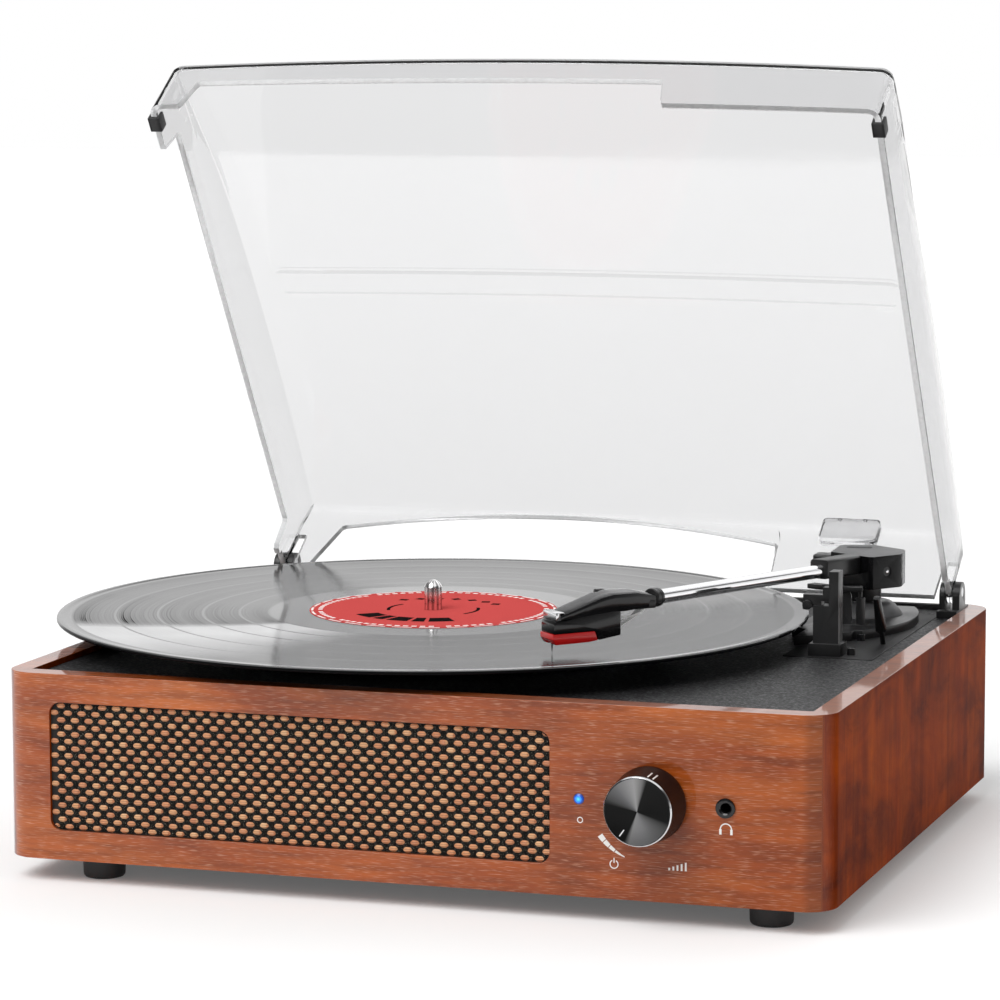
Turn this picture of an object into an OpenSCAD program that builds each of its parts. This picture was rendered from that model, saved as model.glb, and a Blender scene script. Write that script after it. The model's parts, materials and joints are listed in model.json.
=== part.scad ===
// Tabletop record player with built-in speakers, a hinged clear lid and a pivoted tonearm.
// Millimetres, +X to the right, +Y to the back, +Z up, Z = 0 under the feet.

/* [Plinth] */
// Outer width of the wooden plinth
plinth_w = 324; // [310:1:340]
// Outer depth of the wooden plinth
plinth_d = 279; // [274:1:290]
// Height of the plinth without its feet
plinth_h = 71.5; // [68:0.5:80]
// Thickness of the wooden walls
wall_t = 9; // [8:0.5:10]
// Radius of the upright wooden corners
plinth_corner_r = 12; // [9:1:16]
// Height of the deck's surface above the plinth's lower edge
deck_z = 69.2; // [68:0.1:70]
// Height of the rubber feet
foot_h = 9; // [6:1:14]
// Diameter of the rubber feet
foot_d = 16.5; // [14:0.5:20]

/* [Front panel] */
// Width of the speaker opening
grille_w = 199; // [180:1:205]
// Height of the speaker opening
grille_h = 49.2; // [44:0.1:50]
// Centre of the speaker opening, from the middle of the plinth
grille_x = -42.6; // [-46:0.1:-40]
// Height of the controls above the plinth's lower edge
control_z = 36.2; // [32:0.1:40]
// Place of the volume knob, from the middle of the plinth
knob_x = 95; // [90:0.5:98]
// Diameter of the volume knob
knob_d = 27.8; // [24:0.1:32]
// Projection of the volume knob
knob_proj = 16.5; // [12:0.5:20]
// Place of the indicator light, from the middle of the plinth
led_x = 68.1; // [66:0.1:70]
// Place of the headphone socket, from the middle of the plinth
jack_x = 123.3; // [120:0.1:126]

/* [Record and platter] */
// Diameter of the record
record_d = 301.6; // [300:0.2:302]
// Thickness of the record
record_t = 1.8; // [1.4:0.1:2]
// Height of the record's playing surface above the plinth's lower edge
record_z = 80.8; // [80.6:0.1:81]
// Place of the spindle, from the middle of the plinth
spindle_x = -37; // [-39:0.5:-36]
// Diameter of the spindle's pin, which the record is set down on
spindle_d = 7.2; // [7:0.05:7.25]
// Diameter of the platter
platter_d = 194; // [188:1:198]

/* [Tonearm] */
// Place of the tonearm's upright axis across the plinth
arm_x = 118.7; // [117:0.1:120]
// Place of the tonearm's upright axis from front to back
arm_y = 92.3; // [91:0.1:94]
// Direction of the tube, clockwise from straight to the front
arm_yaw = 17.06; // [16:0.1:18]
// Outer diameter of the tube
tube_d = 5.5; // [5:0.1:6]
// Length from the upright axis to the headshell's collar
tube_len = 155.4; // [155:0.1:156]
// Turn of the headshell from the line of the tube
headshell_yaw = 28.94; // [27:0.1:30]

/* [Lid] */
// Width over the lid's side walls
lid_w = 299.28; // [296:0.1:300]
// Thickness of the lid's walls
lid_t = 2.4; // [2:0.1:2.6]
// Angle of the open lid, from closed
lid_open = 56.41; // [40:1:65]
// Height of the hinge pins above the plinth's lower edge
hinge_z = 79; // [78.5:0.1:79.5]
// Place of the hinge pins behind the middle of the plinth
hinge_y = 123.3; // [123:0.1:124]

/* [Hidden] */
$fn = 96;

// The space that a solid needs to its neighbour on another body, and a shaft in its bore
gap = 0.3;
running = 0.05;
// A small overlap that carries a cut past a face
past = 1;

// Inside of the plinth
inner_x = plinth_w / 2 - wall_t;
front_y = -plinth_d / 2;
inner_y = front_y + wall_t;
back_y = plinth_d / 2;
panel_w = 2 * inner_x - 6;
panel_t = 4;
deck_t = 3;
board_t = 4;
deck_back = back_y - panel_t;
mat_t = 1.2;
platter_top = record_z - record_t - mat_t;
platter_low = deck_z + 2;
hole_r = 3.65;
shaft_r = 3;
shaft_low = 47.3;
pin_low = record_z + 0.2;
pin_high = 90;
led_r = 2;
screw_r = 1.5;
foot_recess = 4.5;
plug_r = 1.75;
socket_r = 3;
bush_r = 3.5;
knob_shaft_r = 2;
grille_z = control_z - 0.2;
grille_corner_r = 4.5;
foot_x = [-128, 136];
foot_y = 122;

// Shift that puts the origin under the middle of the whole model with its lid open
knob_y = front_y - knob_proj;
lid_back = 150.75;
centre_x = (spindle_x - record_d / 2 + plinth_w / 2) / 2;
centre_y = (knob_y + lid_back) / 2;

// Tonearm heights above the plinth's lower edge
tube_z = 93.5;
collar_z = 98.7;
tube_rise = atan((collar_z - tube_z) / tube_len);
housing_z = [84.8, 98.3];
lift_axis_z = 91.8;
lift_axis_yaw = -33;
base_top = 73;
stylus_x = -21.3;
stylus_y = -194.6;
platform_r = [29.5, 34];
platform_z = 88.7;

// Lid heights are measured up from its deepest edge, and depths forward from its back wall
lid_edge_z = 71.4;
lid_zero_y = hinge_y - 2.42;
lid_front = 250;
lid_bow = 2.8;
lid_step = 15.6;
crease_h = 29;

module on_feet() {
    translate([-centre_x, -centre_y, foot_h]) children();
}

module block(low, high) {
    translate(low) cube(high - low);
}

module round_rect(w, d, r) {
    square([w - 2 * r, d], center = true);
    square([w, d - 2 * r], center = true);
    for (x = [-1, 1], y = [-1, 1])
        translate([x * (w / 2 - r), y * (d / 2 - r)]) circle(r);
}

// A bore or rod that runs towards the front, from y_start forward
module rod_front(x, y_start, z, r, length) {
    translate([x, y_start, z]) rotate([90, 0, 0]) cylinder(r = r, h = length);
}

module along_x(x_start, y, z, r, length) {
    translate([x_start, y, z]) rotate([0, 90, 0]) cylinder(r = r, h = length);
}

// ---------- plinth and its fixed parts ----------

module grille_prism(y_start, length, shrink) {
    translate([grille_x, y_start, grille_z]) rotate([90, 0, 0])
        linear_extrude(length) round_rect(grille_w - shrink, grille_h - shrink, grille_corner_r);
}

module plinth() {
    color("#7a2f14") on_feet() difference() {
        linear_extrude(plinth_h) round_rect(plinth_w, plinth_d, plinth_corner_r);
        block([-inner_x, inner_y, -past], [inner_x, deck_back, plinth_h + past]);
        block([-panel_w / 2, deck_back - past, -past], [panel_w / 2, back_y + past, plinth_h + past]);
        grille_prism(inner_y + past, wall_t + 2 * past, 0);
        rod_front(led_x, inner_y + past, control_z, led_r, wall_t + 2 * past);
        rod_front(knob_x, inner_y + past, control_z, bush_r, wall_t + 2 * past);
        rod_front(jack_x, inner_y + past, control_z, socket_r, wall_t + 2 * past);
    }
}

module bottom_board() {
    color("#1b1b1c") on_feet() difference() {
        block([-inner_x, inner_y, 0], [inner_x, deck_back, board_t]);
        for (x = foot_x, y = [-foot_y, foot_y])
            translate([x, y, -past]) cylinder(r = screw_r, h = board_t + 2 * past);
        for (x = [-60:12:60])
            block([x - 1.5, -20, -past], [x + 1.5, 20, board_t + past]);
    }
}

inlet_x = 118;
inlet_r = 4.2;
out_r = 4.1;
socket_half = 6;
out_x = [-122, -106];
aux_x = -82;
rear_z = 30;

module rear_panel() {
    color("#161617") on_feet() difference() {
        block([-panel_w / 2, deck_back, 0], [panel_w / 2, back_y, plinth_h - 0.3]);
        rod_front(inlet_x, back_y + past, rear_z, inlet_r, panel_t + 2 * past);
        for (x = out_x)
            rod_front(x, back_y + past, rear_z, out_r, panel_t + 2 * past);
        rod_front(aux_x, back_y + past, rear_z, socket_r, panel_t + 2 * past);
    }
}

motor_y = -78;
pulley_r = 5;
drum_r = 53;
cue_pivot_z = 62;
cue_x = 139.3;
cue_y = 42;
cue_axle_r = 1.5;
slide_half = 3.5;
bearing_r = 7;
bearing_low = 44;
arm_bush_r = 5;
lift_bush_r = 4;

module deck() {
    color("#3c3c3e") on_feet() difference() {
        block([-inner_x, inner_y, deck_z - deck_t], [inner_x, deck_back, deck_z]);
        translate([spindle_x, 0, deck_z - deck_t - past]) cylinder(r = bearing_r, h = deck_t + 2 * past);
        translate([spindle_x, motor_y, deck_z - deck_t - past]) cylinder(r = 9, h = deck_t + 2 * past);
        translate([arm_x, arm_y, deck_z - deck_t - past]) cylinder(r = arm_bush_r, h = deck_t + 2 * past);
        translate([lift_rod_x, lift_rod_y, deck_z - deck_t - past])
            cylinder(r = lift_bush_r, h = deck_t + 2 * past);
        block([cue_x - 1.9, cue_y - 7, deck_z - deck_t - past], [cue_x + 1.9, cue_y + 5, deck_z + past]);
        for (p = [speed_at, stop_at])
            block([p[0] - 7, p[1] - 1.8, deck_z - deck_t - past], [p[0] + 7, p[1] + 1.8, deck_z + past]);
    }
}

module feet() {
    color("#202021") on_feet() for (x = foot_x, y = [-foot_y, foot_y])
        translate([x, y, -foot_h]) rotate_extrude() difference() {
            union() {
                translate([screw_r, 0]) square([foot_d / 2 - 3, foot_h]);
                translate([screw_r, 1.6]) square([foot_d / 2 - 1.9, foot_h - 1.6]);
                translate([screw_r, foot_h - 3]) square([foot_d / 2 - screw_r, 3]);
            }
            translate([0, -past]) square([3.6, foot_recess + past]);
        }
}

module foot_screws() {
    color("silver") on_feet() for (x = foot_x, y = [-foot_y, foot_y])
        translate([x, y, 0]) {
            translate([0, 0, foot_recess - foot_h]) cylinder(r = screw_r, h = foot_h - foot_recess + board_t + 2);
            translate([0, 0, foot_recess - foot_h - 1.9]) cylinder(r = 2 * screw_r, h = 1.9);
        }
}

speaker_r = 22;
speaker_edge = 2;
basket_depth = 12;
magnet_r = 16;
speaker_x = [grille_x - 52, grille_x + 52];
cloth_y = front_y + 1.5;
cloth_t = 0.8;
baffle_t = 3;
baffle_y = cloth_y + cloth_t + baffle_t;

module grille_board() {
    color("#101010") on_feet() difference() {
        grille_prism(baffle_y, baffle_t, 0);
        for (x = speaker_x)
            rod_front(x, baffle_y + past, grille_z, speaker_r - speaker_edge, baffle_t + 2 * past);
    }
}

module grille_cloth() {
    color("#191716") on_feet() grille_prism(cloth_y + cloth_t, cloth_t, 0);
}

module speaker_frames() {
    color("#2b2b2d") on_feet() for (x = speaker_x)
        translate([x, baffle_y, grille_z]) rotate([-90, 0, 0]) {
            difference() {
                cylinder(r = speaker_r, h = baffle_t);
                translate([0, 0, -past]) cylinder(r = speaker_r - speaker_edge, h = baffle_t + 2 * past);
            }
            difference() {
                translate([0, 0, baffle_t]) cylinder(r1 = speaker_r, r2 = 12, h = basket_depth);
                translate([0, 0, baffle_t - 0.01])
                    cylinder(r1 = speaker_r - speaker_edge, r2 = 12 - speaker_edge, h = basket_depth + 0.02);
            }
            difference() {
                translate([0, 0, baffle_t + basket_depth]) cylinder(r = magnet_r, h = 10);
                translate([0, 0, baffle_t + basket_depth - past]) cylinder(r = 6, h = 7);
            }
        }
}

module speaker_cones() {
    color("#0c0c0c") on_feet() for (x = speaker_x)
        translate([x, baffle_y, grille_z]) rotate([-90, 0, 0]) rotate_extrude()
            polygon([[0, 10], [6, 10], [speaker_r - 4, 1.5], [speaker_r - 2, 1.5],
                [speaker_r - 2, 2.5], [speaker_r - 3.5, 2.5], [5.5, 11], [5.5, 14], [0, 14]]);
}

module indicator_lens() {
    color("#d8e8ff") on_feet() {
        rod_front(led_x, inner_y + 6, control_z, led_r, wall_t + 6);
        translate([led_x, front_y, control_z]) rotate([90, 0, 0]) cylinder(r1 = led_r, r2 = 1.2, h = 0.6);
    }
}

module volume_control() {
    color("silver") on_feet() {
        difference() {
            union() {
                rod_front(knob_x, inner_y + 11, control_z, 12, 11);
                rod_front(knob_x, inner_y, control_z, bush_r, wall_t + 2.2);
            }
            rod_front(knob_x, inner_y + 9, control_z, knob_shaft_r + running, wall_t + 20);
        }
        block([knob_x - 7, inner_y + 3, control_z - 18], [knob_x + 7, inner_y + 5, control_z - 9]);
    }
}

module control_nut() {
    color("silver") on_feet() difference() {
        translate([knob_x, front_y, control_z]) rotate([90, 30, 0]) cylinder(r = 6, h = 2, $fn = 6);
        rod_front(knob_x, front_y + past, control_z, bush_r, 4);
    }
}

module volume_knob() {
    color("#2a2a2c") on_feet() {
        difference() {
            union() {
                rod_front(knob_x, front_y - gap - 0.2, control_z, knob_d / 2, 3);
                translate([knob_x, front_y - gap - 3.2, control_z]) rotate([90, 0, 0])
                    cylinder(r1 = knob_d / 2, r2 = 12.9, h = knob_proj - 4.5);
                translate([knob_x, front_y - knob_proj + 1, control_z]) rotate([90, 0, 0])
                    cylinder(r1 = 12.9, r2 = 12.3, h = 1);
            }
            rod_front(knob_x, front_y + past, control_z, 7.4, past + 4);
            rod_front(knob_x, front_y + past, control_z, knob_shaft_r, past + 9);
            for (side = [0, 180])
                translate([knob_x, front_y, control_z]) rotate([0, side + 30, 0])
                    block([-0.7, 0.4 - knob_proj, 13], [0.7, 8 - knob_proj, 16]);
        }
        rod_front(knob_x, inner_y + 8, control_z, knob_shaft_r, 8 + wall_t + 9);
    }
}

module headphone_socket() {
    color("#b9b9bb") on_feet() difference() {
        union() {
            rod_front(jack_x, inner_y, control_z, socket_r, wall_t);
            rod_front(jack_x, front_y, control_z, 3.65, 0.9);
            block([jack_x - socket_half, inner_y, control_z - socket_half],
                [jack_x + socket_half, inner_y + 12, control_z + socket_half]);
        }
        rod_front(jack_x, inner_y + 6, control_z, plug_r, wall_t + 10);
        translate([jack_x, front_y - 0.4, control_z]) rotate([90, 0, 0]) cylinder(r1 = plug_r, r2 = 2.6, h = 0.6);
    }
}

board_low = board_t + 6;
board_top = board_low + 1.6;
board_posts_x = [26, 124];
board_posts_y = [-94, -36];

module main_board() {
    color("#1d5c34") on_feet() difference() {
        block([20, -100, board_low], [130, -30, board_top]);
        for (x = board_posts_x, y = board_posts_y)
            translate([x, y, board_t]) cylinder(r = screw_r, h = 12);
    }
}

module board_parts() {
    color("#303236") on_feet() {
        for (x = board_posts_x, y = board_posts_y)
            translate([x, y, board_t]) {
                cylinder(r = 2 * screw_r, h = board_low - board_t);
                cylinder(r = screw_r, h = board_top - board_t + past);
                translate([0, 0, board_top - board_t]) cylinder(r = 2.8, h = 1.6);
            }
        for (i = [0:3])
            translate([40 + 16 * i, -50, board_top]) cylinder(r = 5, h = 14);
        block([50, -86, board_top], [90, -72, board_t + 24]);
    }
}

module power_inlet() {
    color("#1a1a1a") on_feet() {
        difference() {
            union() {
                rod_front(inlet_x, back_y, rear_z, inlet_r, panel_t);
                block([inlet_x - socket_half, deck_back - 12, rear_z - socket_half],
                    [inlet_x + socket_half, deck_back, rear_z + socket_half]);
            }
            rod_front(inlet_x, back_y + past, rear_z, 2.75, 10 + past);
        }
        rod_front(inlet_x, back_y - 1.5, rear_z, 1.05, 10);
    }
}

module line_out_sockets() {
    color("#c8a24a") on_feet() for (x = out_x) {
        difference() {
            union() {
                rod_front(x, back_y + 8, rear_z, out_r, 8 + panel_t);
                rod_front(x, back_y + 1.5, rear_z, 6, 1.5);
                block([x - socket_half, deck_back - 10, rear_z - socket_half],
                    [x + socket_half, deck_back, rear_z + socket_half]);
            }
            rod_front(x, back_y + 8 + past, rear_z, 1.6, 14);
        }
    }
}

module aux_socket() {
    color("#1a1a1a") on_feet() difference() {
        union() {
            rod_front(aux_x, back_y + 0.8, rear_z, socket_r, panel_t + 0.8);
            block([aux_x - socket_half, deck_back - 12, rear_z - socket_half],
                [aux_x + socket_half, deck_back, rear_z + socket_half]);
        }
        rod_front(aux_x, back_y + 2, rear_z, plug_r, 16);
    }
}

// ---------- drive ----------

module bearing() {
    color("#9a9a9c") on_feet() translate([spindle_x, 0, 0]) difference() {
        union() {
            translate([0, 0, bearing_low]) cylinder(r = bearing_r, h = deck_z + 0.5 - bearing_low);
            translate([0, 0, deck_z - deck_t - 2.5]) cylinder(r = 16, h = 2.5);
        }
        translate([0, 0, shaft_low - gap]) cylinder(r = shaft_r + running, h = deck_z);
    }
}

motor_low = 40;
motor_top = 63;
motor_shaft_r = 1;
rib_t = 3;
web_t = 4.4;

module motor() {
    color("#b4b4b6") on_feet() translate([spindle_x, motor_y, 0]) difference() {
        union() {
            translate([0, 0, motor_low]) cylinder(r = 16, h = motor_top - motor_low);
            block([-24, -5, motor_top], [24, 5, deck_z - deck_t]);
        }
        translate([0, 0, motor_low + 5]) cylinder(r = motor_shaft_r + running, h = deck_z);
    }
}

module motor_pulley() {
    color("#c8a24a") on_feet() translate([spindle_x, motor_y, 0]) {
        translate([0, 0, motor_low + 6]) cylinder(r = motor_shaft_r, h = 26);
        translate([0, 0, platter_low + 0.2]) cylinder(r = pulley_r, h = 3.8);
    }
}

belt_t = 0.8;
belt_z = platter_low + 0.5;
belt_w = 3.2;
belt_turn = acos((drum_r - pulley_r) / -motor_y);
belt_run = sqrt(pow(motor_y, 2) - pow(drum_r - pulley_r, 2));

module belt_arc(r, start, turn) {
    rotate([0, 0, start]) rotate_extrude(angle = turn)
        translate([r + running, 0]) square([belt_t, belt_w]);
}

// A straight run, a hair thinner than the arcs that it enters at both ends
module belt_straight() {
    translate([0.02, -0.3, 0.02]) cube([belt_t - 0.04, belt_run + 0.6, belt_w - 0.04]);
}

module drive_belt() {
    color("#151515") on_feet() translate([spindle_x, 0, belt_z]) {
        belt_arc(drum_r, belt_turn - 90, 360 - 2 * belt_turn);
        translate([0, motor_y, 0]) belt_arc(pulley_r, -90 - belt_turn, 2 * belt_turn);
        rotate([0, 0, belt_turn - 90]) translate([drum_r + running, -belt_run, 0]) belt_straight();
        rotate([0, 0, -90 - belt_turn]) translate([drum_r + running, 0, 0]) belt_straight();
    }
}

module platter() {
    color("#8d8f92") on_feet() translate([spindle_x, 0, 0]) difference() {
        translate([0, 0, platter_low]) cylinder(r = platter_d / 2, h = platter_top - platter_low);
        translate([0, 0, platter_low - past]) difference() {
            cylinder(r = platter_d / 2 - rib_t, h = past + web_t);
            cylinder(r = drum_r, h = past + web_t);
        }
        translate([0, 0, platter_low - past]) difference() {
            cylinder(r = drum_r - rib_t, h = past + web_t);
            cylinder(r = 12, h = past + web_t);
        }
        translate([0, 0, platter_low - past]) cylinder(r = shaft_r, h = 12);
    }
}

module slipmat() {
    color("#1c1c1d") on_feet() translate([spindle_x, 0, platter_top]) difference() {
        cylinder(r = platter_d / 2 - 0.5, h = mat_t);
        translate([0, 0, -past]) cylinder(r = shaft_r, h = mat_t + 2 * past);
    }
}

// The shaft in the bearing, the record's pin over it, and the pin's rounded tip
module spindle() {
    color("silver") on_feet() translate([spindle_x, 0, 0]) {
        translate([0, 0, shaft_low]) cylinder(r = shaft_r, h = pin_high - past - shaft_low);
        translate([0, 0, pin_low]) cylinder(r = spindle_d / 2, h = pin_high - pin_low);
        translate([0, 0, pin_high]) rotate_extrude() intersection() {
            translate([-1.4, -2]) circle(spindle_d / 2 + 1.8);
            square([spindle_d / 2, 3]);
        }
    }
}

module record() {
    color("#141414") on_feet() translate([spindle_x, 0, platter_top + mat_t]) difference() {
        cylinder(r = record_d / 2, h = record_t);
        translate([0, 0, -past]) cylinder(r = hole_r, h = record_t + 2 * past);
    }
}

label_r = 50;
label_t = 0.15;

module record_label() {
    color("#c4333a") on_feet() translate([spindle_x, 0, record_z]) difference() {
        cylinder(r = label_r, h = label_t);
        translate([0, 0, -past]) cylinder(r = hole_r, h = label_t + 2 * past);
    }
}

// ---------- tonearm ----------

module at_arm() {
    translate([arm_x, arm_y, 0]) children();
}

module along_tube() {
    at_arm() rotate([0, 0, -arm_yaw]) children();
}

module on_headshell() {
    along_tube() translate([stylus_x, stylus_y, 0]) rotate([0, 0, -headshell_yaw]) children();
}

lift_rod_x = 112;
lift_rod_y = 61;
disc_x = 117.3;
disc_y = 61.4;
disc_z = 81;
disc_r = 8.9;
disc_t = 1.4;
arm_shaft_r = 3;
lift_rod_r = 1.5;
pivot_pin_r = 1.2;
pivot_screw_r = 2;
weight_r = 4.5;
weight_y = 13.2;
tube_start = 8.6;
shell_half = 5.5;
speed_at = [132.5, 43.5];
stop_at = [137, 8];

module base_plan() {
    difference() {
        intersection() {
            translate([69, 86.5]) circle(72);
            union() {
                translate([100, 45]) square([60, 72]);
                translate([106, 13]) square([24, 60]);
            }
        }
        translate([cue_x - 3, cue_y - 16]) square([30, 33]);
    }
}

module arm_base() {
    color("#242426") on_feet() difference() {
        union() {
            translate([0, 0, deck_z]) linear_extrude(base_top - deck_z) base_plan();
            at_arm() translate([0, 0, base_top]) cylinder(r1 = 15.6, r2 = 10.2, h = 5.5);
            at_arm() translate([0, 0, deck_z - 12]) cylinder(r = arm_bush_r, h = 13);
            translate([lift_rod_x, lift_rod_y, deck_z - 12]) cylinder(r = lift_bush_r, h = 22);
            block([disc_x, disc_y - disc_t, base_top - 0.5], [disc_x + disc_r, disc_y, disc_z]);
            translate([disc_x, disc_y, disc_z]) intersection() {
                rotate([90, 0, 0]) cylinder(r = disc_r, h = disc_t);
                block([0, -disc_t - past, 0], [disc_r + past, past, disc_r + past]);
            }
        }
        at_arm() translate([0, 0, deck_z - 11]) cylinder(r = arm_shaft_r + running, h = 40);
        translate([lift_rod_x, lift_rod_y, deck_z - 11]) cylinder(r = lift_rod_r + running, h = 40);
        block([speed_at[0] - 7, speed_at[1] - 2.8, deck_z - past], [speed_at[0] + 7, speed_at[1] + 2.8, 90]);
    }
}

module arm_yoke() {
    color("#3a3a3c") on_feet() at_arm() difference() {
        union() {
            translate([0, 0, deck_z - 10.5]) cylinder(r = arm_shaft_r, h = 24);
            translate([0, 0, base_top + 5.5 + gap]) cylinder(r = 6.8, h = 15.4);
        }
        rotate([0, 0, lift_axis_yaw]) along_x(-9, 0, lift_axis_z, pivot_pin_r + running, 18);
    }
}

module housing_plan() {
    polygon([[-13.8, -2.5], [4.7, -13.5], [6.6, -13.3], [15, -1.9], [15.4, 1], [14.3, 11.4], [13, 13.3],
        [-1, 22.9], [-4, 23.2], [-13.6, 20.2], [-14.8, 18.5]]);
}

module tube_space() {
    along_tube() translate([0, 0, tube_z]) rotate([-tube_rise, 0, 0])
        translate([0, -tube_start, 0]) rotate([90, 0, 0]) cylinder(r = tube_d / 2, h = 60);
}

module arm_housing() {
    color("#222223") on_feet() difference() {
        at_arm() translate([0, 0, housing_z[0]]) linear_extrude(housing_z[1] - housing_z[0]) housing_plan();
        at_arm() translate([0, 0, housing_z[0] - past]) cylinder(r = 8.2, h = past + 11);
        at_arm() rotate([0, 0, lift_axis_yaw]) along_x(-25, 0, lift_axis_z, pivot_screw_r, 50);
        along_tube() translate([0, weight_y, housing_z[0] - past]) cylinder(r = weight_r, h = past + 9);
        tube_space();
    }
}

module arm_pivot_screws() {
    color("#d0d0d2") on_feet() at_arm() rotate([0, 0, lift_axis_yaw]) {
        along_x(8.2, 0, lift_axis_z, pivot_screw_r, 4.8);
        along_x(4.5, 0, lift_axis_z, pivot_pin_r, 3.7);
        along_x(-12, 0, lift_axis_z, pivot_screw_r, 3.8);
        along_x(-8.2, 0, lift_axis_z, pivot_pin_r, 3.7);
    }
}

module arm_counterweight() {
    color("#8a8a8c") on_feet() along_tube() translate([0, weight_y, housing_z[0] + 0.5]) cylinder(r = weight_r, h = 8.5);
}

module arm_tube() {
    color("#dcdcde") on_feet() along_tube() translate([0, 0, tube_z]) rotate([-tube_rise, 0, 0])
        rotate([90, 0, 0]) difference() {
            translate([0, 0, tube_start]) cylinder(r = tube_d / 2, h = tube_len - tube_start - 2);
            translate([0, 0, tube_start - 0.6]) cylinder(r = tube_d / 2 - 0.6, h = tube_len);
        }
}

module tube_saddle() {
    color("#2c2c2e") on_feet() difference() {
        along_tube() translate([0, 0, tube_z]) rotate([-tube_rise, 0, 0])
            block([-3.6, -33, -1], [3.6, -11, 4.6]);
        tube_space();
    }
}

// The plate over the cartridge: it slopes up from its front edge to the bend, then runs level
module headshell() {
    color("#303032") on_feet() {
        on_headshell() {
            rotate([90, 0, 90]) translate([0, 0, -shell_half]) linear_extrude(2 * shell_half)
                polygon([[1, 93.4], [1, 95.6], [23, 99.8], [33, 100.4], [33, 98], [24, 97.4]]);
            rotate([90, 0, 90]) for (side = [-shell_half - 1, shell_half]) translate([0, 0, side]) linear_extrude(1)
                polygon([[1, 93], [1, 95.6], [23, 99.8], [34, 100.4], [34, 96], [26, 95.2]]);
            block([-6.5, 28, 95.6], [6.5, 42, 98.2]);
            block([-11, 20, 98.6], [-6.5, 24, 99.6]);
            block([-11.6, 20, 98.6], [-10.6, 24, 101]);
        }
        difference() {
            along_tube() translate([0, 0, tube_z]) rotate([-tube_rise, 0, 0])
                translate([0, 2 - tube_len, 0]) rotate([90, 0, 0]) translate([0, 0, -9]) cylinder(r = 4.2, h = 13);
            along_tube() translate([0, 0, tube_z]) rotate([-tube_rise, 0, 0])
                translate([0, 12 - tube_len, 0]) rotate([90, 0, 0]) cylinder(r = tube_d / 2, h = 10);
        }
    }
}

module headshell_clip() {
    color("#e2e2e4") on_feet() on_headshell() {
        block([-shell_half, -1, 93.2], [shell_half, 1, 95.9]);
        block([-shell_half, -1, 95.9], [shell_half, 2.5, 96.3]);
    }
}

module cartridge() {
    color("#141415") on_feet() on_headshell() rotate([90, 0, 90]) translate([0, 0, -shell_half])
        linear_extrude(2 * shell_half)
            polygon([[-2.5, 88.2], [-2.5, 92], [-1.5, 93.2], [3, 93.2], [24, 97.2], [28, 97.2], [28, 86.2],
                [18, 84.9], [16.6, 88.4]]);
}

module stylus_holder() {
    color("#c01818") on_feet() on_headshell() difference() {
        rotate([90, 0, 90]) translate([0, 0, -shell_half]) linear_extrude(2 * shell_half)
            polygon([[-3, 88.2], [-3, 86.2], [-1.5, 84.1], [14, 84.4], [18, 84.9], [16.6, 88.4], [-2.5, 88.2]]);
        block([-1.2, -2, 83], [1.2, 12, 85.6]);
    }
}

module stylus() {
    color("#d8d8da") on_feet() on_headshell() {
        translate([0, 12.6, 85.3]) rotate([96, 0, 0]) cylinder(r = 0.35, h = 13, $fn = 24);
        translate([0, 0, record_z + 0.05]) cylinder(r1 = 0.1, r2 = 0.45, h = 3.2, $fn = 24);
    }
}

module cartridge_wires() {
    color("#e6e6e6") on_feet() on_headshell() for (x = [-3.6, -1.2, 1.2, 3.6])
        translate([x, 28, 91.5 + x / 3]) rotate([-90, 0, 0]) cylinder(r = 0.45, h = 6, $fn = 24);
}

post_x = 119;
post_y = 4;
latch_x = post_x - 2.4;
latch_z = 89;
latch_pin_r = 1;

module rest_post() {
    color("#2b2b2d") on_feet() {
        block([post_x - 1.3, post_y - 2.5, deck_z], [post_x + 11.6, post_y + 8.5, deck_z + 4.9]);
        block([post_x, post_y, deck_z + 4.9], [post_x + 10.2, post_y + 7, 88.8]);
        block([post_x + 6.3, post_y, 88.8], [post_x + 11.3, post_y + 7.4, 102.4]);
        block([post_x - 4.3, post_y + 1, 90.6], [post_x + 6.3, post_y + 6, 93]);
        block([post_x + 3.6, post_y + 1, 93], [post_x + 6.3, post_y + 6, 96]);
        difference() {
            block([post_x - 4.3, post_y + 1, 88], [post_x - 0.5, post_y + 6, 90.6]);
            rod_front(latch_x, post_y + 8, latch_z, latch_pin_r, 10);
        }
        block([post_x - 0.5, post_y + 1, 88.8], [post_x + 3, post_y + 6, 90.6]);
        rod_front(latch_x, post_y + 7.8, latch_z, latch_pin_r, 8.6);
    }
}

// The hook that swings up and over the tube, drawn lowered to the left
module rest_latch() {
    color("#2b2b2d") on_feet() translate([latch_x, post_y, latch_z]) rotate([0, -90, 0]) difference() {
        union() {
            for (y = [-0.6, 6.3])
                translate([0, y, 0]) {
                    rotate([-90, 0, 0]) cylinder(r = 1.9, h = 1.3);
                    block([-2.2, 0, 0], [-1, 1.3, 13.2]);
                }
            block([-2.2, -0.6, 12], [3.4, 7.6, 13.2]);
        }
        rotate([-90, 0, 0]) translate([0, 0, -2]) cylinder(r = latch_pin_r + running, h = 12);
    }
}

module cue_lever() {
    color("#1a1a1b") on_feet() translate([cue_x, cue_y, cue_pivot_z]) {
        rotate([30, 0, 0]) {
            cylinder(r = 1, h = 17);
            translate([0, 0, 16]) cylinder(r1 = 2.3, r2 = 1.4, h = 16);
        }
        along_x(-0.5, 0, 0, cue_axle_r, 7.5);
    }
}

module sector(r1, r2, from, to) {
    rotate([0, 0, from]) rotate_extrude(angle = to - from) translate([r1, 0]) square([r2 - r1, 2]);
}

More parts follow.
